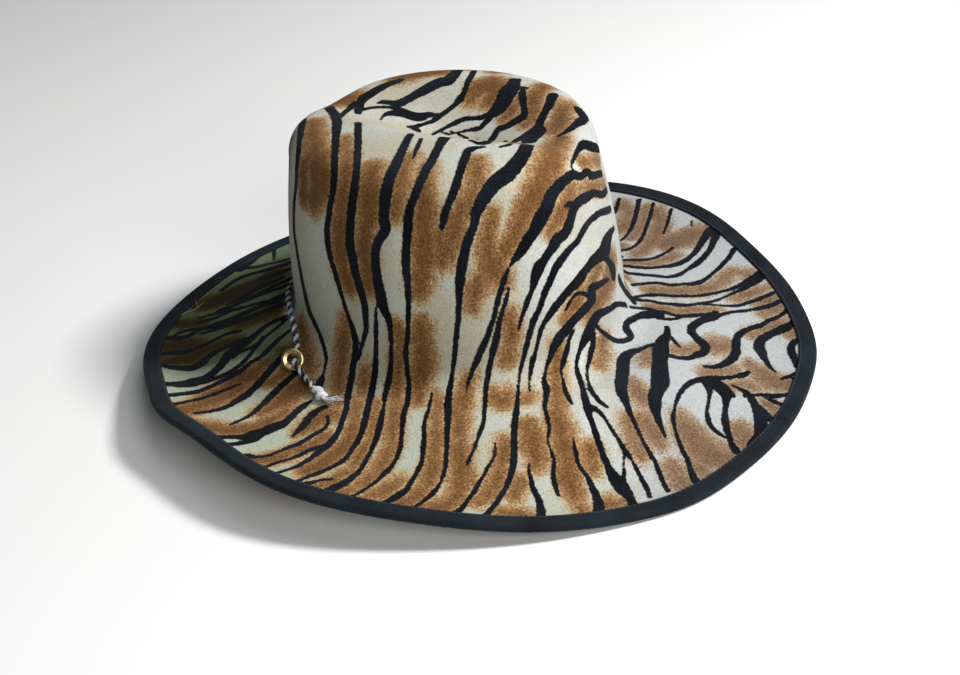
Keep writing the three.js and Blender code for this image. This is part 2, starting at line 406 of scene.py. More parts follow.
class Shader:
    """Short way to build a material's node tree."""

    def __init__(self, name):
        self.material = bpy.data.materials.new(name)
        self.material.use_nodes = True
        self.tree = self.material.node_tree
        self.surface = self.tree.nodes["Principled BSDF"]

    def put(self, socket, value):
        if isinstance(value, bpy.types.NodeSocket):
            self.tree.links.new(value, socket)
        elif isinstance(value, (tuple, list)) and socket.type == "RGBA":
            socket.default_value = (*value, 1)
        else:
            socket.default_value = value

    def node(self, kind, output, settings=None, **inputs):
        node = self.tree.nodes.new(kind)
        for key, value in (settings or {}).items():
            setattr(node, key, value)
        for key, value in inputs.items():
            index = int(key[1:]) if key[1:].isdigit() and key[0] == "i" else key.replace("_", " ")
            self.put(node.inputs[index], value)
        return node.outputs[output]

    def maths(self, operation, a, b=0.0, c=0.0):
        return self.node("ShaderNodeMath", 0, {"operation": operation}, i0=a, i1=b, i2=c)

    def noise(self, size, detail=2.0, stretch=(1, 1, 1)):
        """Noise from about -1 to 1 with features of the given size in metres."""
        place = self.node("ShaderNodeTexCoord", "Object")
        place = self.node("ShaderNodeMapping", 0, Vector=place, Scale=stretch)
        value = self.node("ShaderNodeTexNoise", 0, Vector=place, Scale=1 / size, Detail=detail,
                          Roughness=NOISE_ROUGHNESS)
        return self.maths("MULTIPLY_ADD", value, 4.0, -2.0)

    def attribute(self, name):
        return self.node("ShaderNodeAttribute", "Fac", {"attribute_name": name})

    def ramp(self, value, low, high):
        """0 at low and 1 at high, eased between them."""
        return self.node("ShaderNodeMapRange", 0, {"interpolation_type": "SMOOTHSTEP"},
                         i0=value, i1=low, i2=high, i3=0.0, i4=1.0)

    def mix(self, share, a, b):
        node = self.tree.nodes.new("ShaderNodeMix")
        node.data_type = "RGBA"
        self.put(node.inputs[0], share)
        self.put(node.inputs[6], a)
        self.put(node.inputs[7], b)
        return node.outputs[2]

    def bump(self, height, distance, strength=1.0):
        return self.node("ShaderNodeBump", 0, Height=height, Distance=distance, Strength=strength)

    def finish(self, color, roughness, normal=None, **constants):
        self.put(self.surface.inputs["Base Color"], color)
        self.put(self.surface.inputs["Roughness"], roughness)
        if normal is not None:
            self.put(self.surface.inputs["Normal"], normal)
        for key, value in constants.items():
            self.put(self.surface.inputs[key.replace("_", " ")], value)
        return self.material


# Plush's colours, as linear shares of red, green and blue
WHITE_PILE = (0.50, 0.52, 0.49)
CREAM_PILE = (0.46, 0.425, 0.33)
# Painted shade: greenish grey for the left side, which faces away from the key light
LEFT_SHADE_PILE = (0.34, 0.385, 0.30)
STRAW_PILE = (0.40, 0.285, 0.155)
TAN_PILE = (0.275, 0.150, 0.064)
BROWN_PILE = (0.150, 0.070, 0.024)
# Painted light: paler, cooler copies of the pile's colours for the side towards the key light, standing in
# for the cool light falling there; the white is darker to hold back the key light
KEY_SIDE_WHITE = (0.385, 0.405, 0.41)
KEY_SIDE_STRAW = (0.32, 0.265, 0.20)
KEY_SIDE_TAN = (0.24, 0.163, 0.104)
KEY_SIDE_BROWN = (0.165, 0.100, 0.058)
STRIPE_PILE = (0.0022, 0.0028, 0.0040)
STRIPE_BLUE = (0.010, 0.014, 0.022)
# Painted shadow: the greenish dark that the pile takes where the crown's shadow falls
PAINTED_SHADE_COLOR = (0.27, 0.36, 0.23)
NAP_SIZE = 0.0012
BLOTCH_SIZE = 0.009
CLOUD_SIZE = 0.035
STRIPE_EDGE = 0.35

# How far from a brown patch's or painted shadow's border each colour begins and is full, in millimetres
STRAW_REACH = (8.0, 2.0)
TAN_REACH = (5.0, 0.0)
BROWN_REACH = (2.5, -4.5)
PAINTED_SHADE_REACH = (9.0, -5.0)

# Where the pile takes painted shade with a greenish cast on the left side, along X, and painted light in
# paler, cooler colours towards the key light, along a way in X and Y, in metres
LEFT_SHADE_REACH = (-0.02, -0.13)
LEFT_SHADE_SHARE = 0.75
KEY_SIDE_WAY = (0.75, -0.65)
KEY_SIDE_REACH = (0.045, 0.10)


def plush_material():
    s = Shader("printed_plush")
    nap = s.noise(NAP_SIZE)
    fine_nap = s.noise(NAP_SIZE / 2)
    blotch = s.noise(BLOTCH_SIZE, 3.0)
    cloud = s.noise(CLOUD_SIZE)
    base = s.mix(s.ramp(cloud, -0.6, 0.6), WHITE_PILE, CREAM_PILE)
    place = s.node("ShaderNodeTexCoord", "Object")
    across = s.node("ShaderNodeSeparateXYZ", 0, Vector=place)
    # Painted shade: towards the left side the pile turns greenish grey, standing in for the shade and
    # greenish cast there
    left = s.ramp(s.maths("MULTIPLY_ADD", cloud, 0.012, across), *LEFT_SHADE_REACH)
    base = s.mix(s.maths("MULTIPLY", left, LEFT_SHADE_SHARE), base, LEFT_SHADE_PILE)
    ahead = s.node("ShaderNodeSeparateXYZ", 1, Vector=place)
    # Painted light: towards the key light's side, front and right, the pile takes its paler, cooler copies
    turned = s.maths("MULTIPLY_ADD", ahead, KEY_SIDE_WAY[1], s.maths("MULTIPLY", across, KEY_SIDE_WAY[0]))
    key_side_share = s.ramp(s.maths("MULTIPLY_ADD", cloud, 0.010, turned), *KEY_SIDE_REACH)
    base = s.mix(key_side_share, base, KEY_SIDE_WHITE)
    ragged = s.maths("MULTIPLY_ADD", nap, 0.7, s.attribute("brown"))
    ragged = s.maths("MULTIPLY_ADD", blotch, 2.2, ragged)
    straw_share = s.ramp(ragged, *STRAW_REACH)
    tan_share = s.ramp(s.maths("ADD", nap, ragged), *TAN_REACH)
    brown_share = s.ramp(s.maths("MULTIPLY_ADD", nap, 1.6, ragged), *BROWN_REACH)
    pile = s.mix(straw_share, base, s.mix(key_side_share, STRAW_PILE, KEY_SIDE_STRAW))
    pile = s.mix(tan_share, pile, s.mix(key_side_share, TAN_PILE, KEY_SIDE_TAN))
    pile = s.mix(brown_share, pile, s.mix(key_side_share, BROWN_PILE, KEY_SIDE_BROWN))
    grain = s.maths("MULTIPLY_ADD", fine_nap, 0.5, nap)
    speckle = s.maths("MULTIPLY_ADD", straw_share, 0.26, 0.16)
    level = s.maths("ADD", s.maths("MULTIPLY", grain, speckle), 1.0)
    pile = s.node("ShaderNodeVectorMath", 0, {"operation": "SCALE"}, i0=pile, Scale=level)
    # Painted shadow: the pile darkens to greenish grey within the charted shadow
    painted_shade_share = s.ramp(s.maths("MULTIPLY_ADD", blotch, 1.5, s.attribute("flat")), *PAINTED_SHADE_REACH)
    shade = s.mix(painted_shade_share, (1.0, 1.0, 1.0), PAINTED_SHADE_COLOR)
    pile = s.node("ShaderNodeVectorMath", 0, {"operation": "MULTIPLY"}, i0=pile, i1=shade)
    edge = s.maths("MULTIPLY_ADD", nap, 0.28, s.attribute("stripe"))
    edge = s.maths("MULTIPLY_ADD", s.noise(0.004), 0.32, edge)
    stripe_share = s.ramp(edge, STRIPE_EDGE, -STRIPE_EDGE)
    dark = s.mix(s.ramp(s.maths("MULTIPLY_ADD", grain, 0.9, cloud), -0.9, 1.6), STRIPE_PILE, STRIPE_BLUE)
    color = s.mix(stripe_share, pile, dark)
    height = s.maths("MULTIPLY_ADD", nap, 0.5, fine_nap)
    return s.finish(color, 0.92, s.bump(height, 0.00014, 0.8), Sheen_Weight=0.03, Sheen_Roughness=0.5,
                    Specular_IOR_Level=0.06)


TAPE_DARK = (0.0040, 0.0060, 0.0085)
TAPE_LIGHT = (0.011, 0.018, 0.024)
STITCH_COLOR = (0.05, 0.065, 0.09)
RIB_PITCH = 1.4
STITCH_PITCH = 2.8
STITCH_PLACE = 7.2


def tape_material():
    s = Shader("ribbed_tape")
    along = s.attribute("along")
    inward = s.attribute("inward")
    grain = s.noise(0.0009)
    wave = s.maths("SINE", s.maths("MULTIPLY", along, 2 * math.pi / RIB_PITCH))
    patch = s.noise(0.02)
    tone = s.maths("MULTIPLY_ADD", grain, 0.35, s.maths("MULTIPLY_ADD", wave, 0.15, patch))
    color = s.mix(s.ramp(tone, -1.2, 1.2), TAPE_DARK, TAPE_LIGHT)
    aside = s.maths("ABSOLUTE", s.maths("SUBTRACT", inward, STITCH_PLACE))
    stitch_line = s.ramp(s.maths("MULTIPLY_ADD", grain, 0.12, aside), 0.42, 0.22)
    beat = s.maths("SINE", s.maths("MULTIPLY", along, 2 * math.pi / STITCH_PITCH))
    stitch = s.maths("MULTIPLY", stitch_line, s.ramp(beat, -0.7, 0.1))
    color = s.mix(s.maths("MULTIPLY", stitch, 0.6), color, STITCH_COLOR)
    height = s.maths("MULTIPLY_ADD", grain, 0.4, wave)
    height = s.maths("MULTIPLY_ADD", stitch_line, -1.5, height)
    height = s.maths("MULTIPLY_ADD", stitch, 1.5, height)
    return s.finish(color, 0.85, s.bump(height, 0.00007, 0.6), Sheen_Weight=0.03, Specular_IOR_Level=0.12)


# Each yarn's darkest and lightest colour
YARN_COLORS = {
    "dark": ((0.004, 0.005, 0.007), (0.014, 0.017, 0.022)),
    "light": ((0.34, 0.36, 0.40), (0.66, 0.68, 0.72)),
    "white": ((0.55, 0.56, 0.62), (0.80, 0.81, 0.86)),
    "thread": ((0.22, 0.18, 0.12), (0.42, 0.38, 0.30)),
}


def yarn_material(name, dark, light):
    s = Shader(name)
    fibre = s.noise(0.0005, stretch=(1, 1, 0.5))
    patch = s.noise(0.003)
    color = s.mix(s.ramp(s.maths("MULTIPLY_ADD", patch, 0.6, fibre), -1.1, 1.1), dark, light)
    return s.finish(color, 0.85, s.bump(fibre, 0.00012, 0.8), Sheen_Weight=0.15, Specular_IOR_Level=0.2)


BRASS_BRIGHT = (0.74, 0.62, 0.30)
BRASS_DULL = (0.42, 0.34, 0.15)


def brass_material():
    s = Shader("brass")
    wear = s.noise(0.002)
    tarnish = s.noise(0.005)
    color = s.mix(s.ramp(tarnish, -0.8, 1.0), BRASS_BRIGHT, BRASS_DULL)
    rough = s.maths("MULTIPLY_ADD", s.ramp(wear, -1, 1), 0.2, 0.22)
    return s.finish(color, rough, s.bump(wear, 0.00003, 0.5), Metallic=1.0)


FLOOR_HALF = 4
FLOOR_COOL = (0.86, 0.87, 0.88)
FLOOR_PLAIN = (0.88, 0.88, 0.88)


def floor_material():
    s = Shader("floor")
    cloud = s.noise(0.4)
    color = s.mix(s.ramp(cloud, -1, 1), FLOOR_COOL, FLOOR_PLAIN)
    return s.finish(color, 0.9)


# Cord

def route_curve(points, steps):
    """Centripetal Catmull-Rom curve through the points, with even steps between each two."""
    p = np.array(points)
    p = np.vstack([2 * p[0] - p[1], p, 2 * p[-1] - p[-2]])
    line = []
    for i in range(1, len(p) - 2):
        t = [0.0]
        for k in range(3):
            t.append(t[-1] + np.linalg.norm(p[i + k] - p[i + k - 1]) ** 0.5)
        for u in np.linspace(t[1], t[2], steps, endpoint=False):
            a1 = (t[1] - u) / (t[1] - t[0]) * p[i - 1] + (u - t[0]) / (t[1] - t[0]) * p[i]
            a2 = (t[2] - u) / (t[2] - t[1]) * p[i] + (u - t[1]) / (t[2] - t[1]) * p[i + 1]
            a3 = (t[3] - u) / (t[3] - t[2]) * p[i + 1] + (u - t[2]) / (t[3] - t[2]) * p[i + 2]
            b1 = (t[2] - u) / (t[2] - t[0]) * a1 + (u - t[0]) / (t[2] - t[0]) * a2
            b2 = (t[3] - u) / (t[3] - t[1]) * a2 + (u - t[1]) / (t[3] - t[1]) * a3
            line.append((t[2] - u) / (t[2] - t[1]) * b1 + (u - t[1]) / (t[2] - t[1]) * b2)
    line.append(p[-2])
    return np.array(line)


def resample(line, step):
    lengths = np.concatenate([[0], np.cumsum(np.linalg.norm(np.diff(line, axis=0), axis=1))])
    count = max(2, int(round(lengths[-1] / step)) + 1)
    along = np.linspace(0, lengths[-1], count)
    return np.stack([np.interp(along, lengths, line[:, k]) for k in range(3)], axis=1), along


def frames_along(line):
    """Tangent, side and lift at each point of a line, with the lift kept as upright as it can be."""
    tangent = np.gradient(line, axis=0)
    tangent /= np.linalg.norm(tangent, axis=1, keepdims=True)
    side = np.cross(tangent, (0, 0, 1.0))
    side /= np.linalg.norm(side, axis=1, keepdims=True)
    return tangent, side, np.cross(side, tangent)


STRAND_RADIUS = 0.00090
STRAND_REACH = 0.00082
TWIST_PITCH = 0.0080
STRAND_SIDES = 8
ROUTE_STEPS = 24
CORD_STEP = 0.0006
PATH_STEP = 0.003


def tube(line, radii, sides):
    """Rings of points round a line, and the quads between them, closed by a point at each end."""
    tangent = np.gradient(line, axis=0)
    tangent /= np.linalg.norm(tangent, axis=1, keepdims=True)
    hint = np.where(np.abs(tangent[:, 2:]) < 0.9, (0, 0, 1.0), (1.0, 0, 0))
    side = np.cross(tangent, hint)
    side /= np.linalg.norm(side, axis=1, keepdims=True)
    lift = np.cross(side, tangent)
    turn = np.linspace(0, 2 * math.pi, sides, endpoint=False)
    circle = side[:, None] * np.cos(turn)[None, :, None] + lift[:, None] * np.sin(turn)[None, :, None]
    rings = line[:, None] + circle * np.asarray(radii)[:, None, None]
    points = np.vstack([rings.reshape(-1, 3), line[0], line[-1]])
    quads = ring_faces(len(line), sides)
    first = len(line) * sides
    end = (len(line) - 1) * sides
    triangles = []
    for i in range(sides):
        j = (i + 1) % sides
        triangles.append((first, i, j))
        triangles.append((end + i, first + 1, end + j))
    return points, quads, triangles


def join_parts(name, parts):
    """One mesh from several (points, quads, triangles, material index)."""
    points = []
    faces = []
    indices = []
    start = 0
    for part_points, quads, triangles, material in parts:
        points.append(part_points)
        part_faces = [tuple(int(v) + start for v in quad) for quad in quads]
        part_faces += [tuple(int(v) + start for v in triangle) for triangle in triangles]
        faces += part_faces
        indices += [material] * len(part_faces)
        start += len(part_points)
    mesh = bpy.data.meshes.new(name)
    mesh.from_pydata([tuple(p) for p in np.vstack(points).tolist()], [], faces)
    mesh.polygons.foreach_set("use_smooth", [True] * len(faces))
    mesh.polygons.foreach_set("material_index", indices)
    mesh.update()
    return mesh


# Loose fibres stand off the cord where it bends behind the crown, and a few along its free stretch
FIBRE_RADIUS = 0.00011
BEND_PLACE = (-0.0765, 0.0600, 0.0337)
BEND_FIBRES = 26
BEND_REACH = 7
BEND_LENGTHS = (0.003, 0.007)
FREE_FIBRES = 70
FREE_LENGTHS = (0.0018, 0.0030)
FOLLOW_CORD = 900
FIBRE_SAG = 0.0006
FIBRE_SEED = 3


def loose_fibres(route):
    rng = np.random.default_rng(FIBRE_SEED)
    bend = int(np.argmin(np.linalg.norm(route - BEND_PLACE, axis=1)))
    places = list(bend + rng.integers(-BEND_REACH, BEND_REACH + 1, BEND_FIBRES))
    places += list(rng.integers(bend, len(route) - 4, FREE_FIBRES))
    parts = []
    for number, place in enumerate(places):
        near_bend = number < BEND_FIBRES
        way = rng.normal(0, 1, 3) + (route[place + 2] - route[place]) * FOLLOW_CORD * near_bend
        way[2] = abs(way[2])
        way /= np.linalg.norm(way)
        length = rng.uniform(*(BEND_LENGTHS if near_bend else FREE_LENGTHS))
        t = np.linspace(0, 1, 6)
        sag = rng.normal(0, FIBRE_SAG, 3)
        line = route[place] + way * (length * t)[:, None] + sag * (t * t)[:, None]
        parts.append((*tube(line, FIBRE_RADIUS * (1.2 - 0.8 * t), 4), 1))
    return parts


def cord_fibres(route, dark, light):
    piece = link("cord_fibres", join_parts("cord_fibres", loose_fibres(route)))
    dress(piece, "cord", "twisted_cord", dark, light)


def twisted_cord(dark, light):
    route, along = resample(route_curve(CORD_ROUTE, ROUTE_STEPS), CORD_STEP)
    tangent, side, lift = frames_along(route)
    parts = []
    for number in range(2):
        turn = math.pi * number - 2 * math.pi * along / TWIST_PITCH
        strand = route + STRAND_REACH * (side * np.cos(turn)[:, None] + lift * np.sin(turn)[:, None])
        parts.append((*tube(strand, np.full(len(strand), STRAND_RADIUS), STRAND_SIDES), number))
    piece = link("twisted_cord", join_parts("twisted_cord", parts))
    dress(piece, "cord", "twisted_cord", dark, light)
    cord_fibres(route, dark, light)
    path, _ = resample(route, PATH_STEP)
    length = float(np.linalg.norm(np.diff(route, axis=0), axis=1).sum())
    return piece, path, length


# Knot with its frayed tip, and the brass ring

KNOT_YARN = 0.0015
KNOT_TURNS = 1.7
KNOT_REACH = 0.0019
KNOT_BODY = 0.0092
KNOT_SHIFT = 0.0026
TIP_TOWARDS = Vector((0.30, -0.95, 0.0)).normalized()
TIP_STRANDS = 26
TIP_LENGTH = 0.0115
TIP_ROOT = 0.0025
STRAND_THIN = 0.00024
KNOT_STEPS = 70
KNOT_SIDES = 10
CORE_STEPS = 12
CORE_RADIUS = 0.0012
UNDER_RADIUS = 0.0009
UNDER_OUT = 0.0022
UNDER_DOWN = 0.0008
KNOT_SEED = 5


def axes_of(direction):
    side = direction.cross(Vector((0, 0, 1))).normalized()
    return np.array(direction), np.array(side), np.array(side.cross(direction))


def knot_piece(material, dark):
    rng = np.random.default_rng(KNOT_SEED)
    along, side, lift = axes_of(KNOT_TOWARDS)
    start = np.array(KNOT_START)
    share = np.linspace(0, 1, KNOT_STEPS)
    turn = 2 * math.pi * KNOT_TURNS * share
    reach = KNOT_REACH * (0.55 + 0.45 * np.sin(math.pi * share))
    coil = (start + along * (KNOT_BODY * share + KNOT_SHIFT)[:, None]
            + (side * np.cos(turn)[:, None] + lift * np.sin(turn)[:, None]) * reach[:, None])
    parts = [(*tube(coil, np.full(KNOT_STEPS, KNOT_YARN), KNOT_SIDES), 0)]
    core = start + along * np.linspace(0, KNOT_BODY + KNOT_SHIFT, CORE_STEPS)[:, None]
    parts.append((*tube(core, np.full(CORE_STEPS, CORE_RADIUS), KNOT_SIDES), 0))
    bow = np.sin(math.pi * np.linspace(0, 1, CORE_STEPS))[:, None]
    under = core - side * UNDER_OUT * bow - lift * UNDER_DOWN
    parts.append((*tube(under, np.full(CORE_STEPS, UNDER_RADIUS), STRAND_SIDES), 1))
    knot_end = start + along * (KNOT_BODY + KNOT_SHIFT - 0.0005)
    tip, side, lift = axes_of(TIP_TOWARDS)
    for number in range(TIP_STRANDS):
        spread = rng.normal(0, 0.2, 2)
        bend = rng.normal(0, 0.0012, 2)
        length = TIP_LENGTH * rng.uniform(0.45, 1)
        t = np.linspace(0, 1, 9)
        root = knot_end + (side * spread[0] + lift * spread[1]) * TIP_ROOT
        aside = spread[0] * length * 0.8 * t + bend[0] * t * t
        above = abs(spread[1]) * length * 0.5 * t + abs(bend[1]) * t * t
        line = root + tip * (length * t)[:, None] + side * aside[:, None] + lift * above[:, None]
        parts.append((*tube(line, STRAND_THIN * (1.2 - 0.7 * t), 5), int(number % 6 == 5)))
    piece = link("knot", join_parts("knot", parts))
    return dress(piece, "cord_knot", "knot_yarn", material, dark)


# Ring's section, as shares of its wire's half width: outward from the wire's middle, and along the axis
RING_SECTION = [
    (1.0, 0.0), (0.92, 0.38), (0.66, 0.68), (0.30, 0.80), (-0.06, 0.70), (-0.36, 0.42), (-0.62, 0.36),
    (-0.88, 0.20), (-1.0, 0.0), (-0.92, -0.34), (-0.66, -0.62), (-0.2, -0.74), (0.3, -0.7), (0.76, -0.46),
]
RING_STATIONS = 96
RING_FLANGE = 0.0033


def ring_piece(material):
    along, side, lift = axes_of(RING_AXIS)
    middle = (RING_DIAMETER - RING_FLANGE) / 2
    turn = np.arange(RING_STATIONS) * 2 * math.pi / RING_STATIONS
    out = side * np.cos(turn)[:, None] + lift * np.sin(turn)[:, None]
    rows = []
    for outward_share, along_share in RING_SECTION:
        radius = middle + RING_FLANGE / 2 * outward_share
        rows.append(np.array(RING_CENTRE) + out * radius + along * (RING_WIRE / 2 * along_share))
    rows.append(rows[0])
    points = np.vstack(rows[:-1])
    quads = ring_faces(len(rows), RING_STATIONS) % len(points)
    piece = link("ring", build_mesh("ring", points, quads))
    faces_out = bmesh.new()
    faces_out.from_mesh(piece.data)
    bmesh.ops.recalc_face_normals(faces_out, faces=faces_out.faces)
    faces_out.to_mesh(piece.data)
    faces_out.free()
    return dress(piece, "eyelet_ring", "brass", material)


# Crown and brim

CROWN_STATIONS = 600
BRIM_STATIONS = 1120
UNDER_STATIONS = 240
TOP_ROWS = [(TOP, 74), (RIM, 26)]
WALL_ROWS = [(SIDE, 92), (FOOT, 28)]
BRIM_ROWS = [(BRIM, 85)]
UNDER_ROWS = [(TOP, 16), (RIM, 6), (SIDE, 20), (FOOT, 8), (BRIM, 26)]


def skin_piece(name, stations, rows, first, distance, flip=False):
    """A sheet of the skin, offset by a distance, with its own exact normals."""
    angles = np.arange(stations) * 360 / stations
    places = profile_places(rows, first)
    angle, place = np.meshgrid(angles, places)
    normals = skin_normal(angle, place)
    points = (skin_point(angle, place) + normals * distance).reshape(-1, 3)
    normals = normals.reshape(-1, 3)
    quads = ring_faces(len(places), stations)
    triangles = []
    if first == TOP:
        middle = skin_point(0, 0) + np.array((0, 0, distance))
        points = np.vstack([points, middle])
        normals = np.vstack([normals, (0, 0, 1)])
        triangles = [(len(points) - 1, i, (i + 1) % stations) for i in range(stations)]
    if flip:
        quads = quads[:, ::-1]
        triangles = [t[::-1] for t in triangles]
        normals = -normals
    return link(name, build_mesh(name, points, quads, triangles, normals))


# Binding: the section's corners run from the tape's inner edge over the top, round and below.
# inward is the distance from the plush's edge along the skin, raised the height above the skin
BINDING_STATIONS = 1440
BINDING_TOP = GAP + TAPE
BINDING_SECTION_STEPS = 10
EDGE_TUCK = 0.002
LAP_ANGLE = 284
LAP_SPAN = 2.4
LAP_RISE = 0.0009


def binding_section():
    rows = [
        (TAPE_WIDTH, -0.0002),
        (TAPE_WIDTH, BINDING_TOP * 0.6),
        (TAPE_WIDTH - 0.0003, BINDING_TOP * 0.9),
        (TAPE_WIDTH - 0.0008, BINDING_TOP),
        (TAPE_WIDTH * 0.66, BINDING_TOP * 0.96),
        (TAPE_WIDTH * 0.33, BINDING_TOP * 1.02),
    ]
    middle = -WALL / 2
    reach = WALL / 2 + BINDING_TOP
    for step in range(BINDING_SECTION_STEPS + 1):
        turn = math.pi / 2 - math.pi * step / BINDING_SECTION_STEPS
        tuck = EDGE_TUCK * (1 - math.cos(turn)) if turn < 0 else 0
        rows.append((tuck - BINDING_TOP * math.cos(turn), middle + reach * math.sin(turn)))
    rows += [
        (TAPE_WIDTH * 0.5, -UNDER_EDGE),
        (TAPE_WIDTH - 0.0006, -UNDER_EDGE),
        (TAPE_WIDTH, -UNDER_EDGE + 0.0004),
        (TAPE_WIDTH, -WALL + 0.0002),
    ]
    return rows


def binding_point(angle, inward, raised):
    """Point at a distance in from the plush's edge, or out beyond it where inward is negative."""
    width = np.linalg.norm(skin_point(angle, EDGE) - skin_point(angle, BRIM), axis=-1)
    place = EDGE - np.maximum(inward, 0) / width
    out = skin_point(angle, EDGE) - skin_point(angle, EDGE - TAPE_WIDTH / width)
    out /= np.linalg.norm(out, axis=-1, keepdims=True)
    return offset_point(angle, place, raised) + out * np.maximum(-inward, 0)[..., None]


def brim_binding(material):
    steps = np.arange(BINDING_STATIONS)
    angles = LAP_ANGLE + steps * 360 / BINDING_STATIONS
    section = binding_section()
    lap = LAP_RISE * np.clip(1 - steps * 360 / BINDING_STATIONS / LAP_SPAN, 0, 1) ** 0.5
    rows = []
    for inward, raised in section:
        lift = lap * np.sign(max(0, raised + WALL / 2))
        rows.append(binding_point(angles, np.full_like(angles, inward), raised + lift))
    edge = binding_point(angles, np.zeros(BINDING_STATIONS), 0)
    along = np.concatenate([[0], np.cumsum(np.linalg.norm(np.diff(edge, axis=0), axis=1))])
    points = np.vstack(rows)
    quads = ring_faces(len(rows) + 1, BINDING_STATIONS) % len(points)
    piece = link("folded_binding", build_mesh("folded_binding", points, quads[:, ::-1]))
    set_attribute(piece, "along", np.tile(along, len(rows)) / MM)
    set_attribute(piece, "inward", np.repeat([row[0] for row in section], BINDING_STATIONS) / MM)
    return dress(piece, "brim_binding", "binding_tape", material)
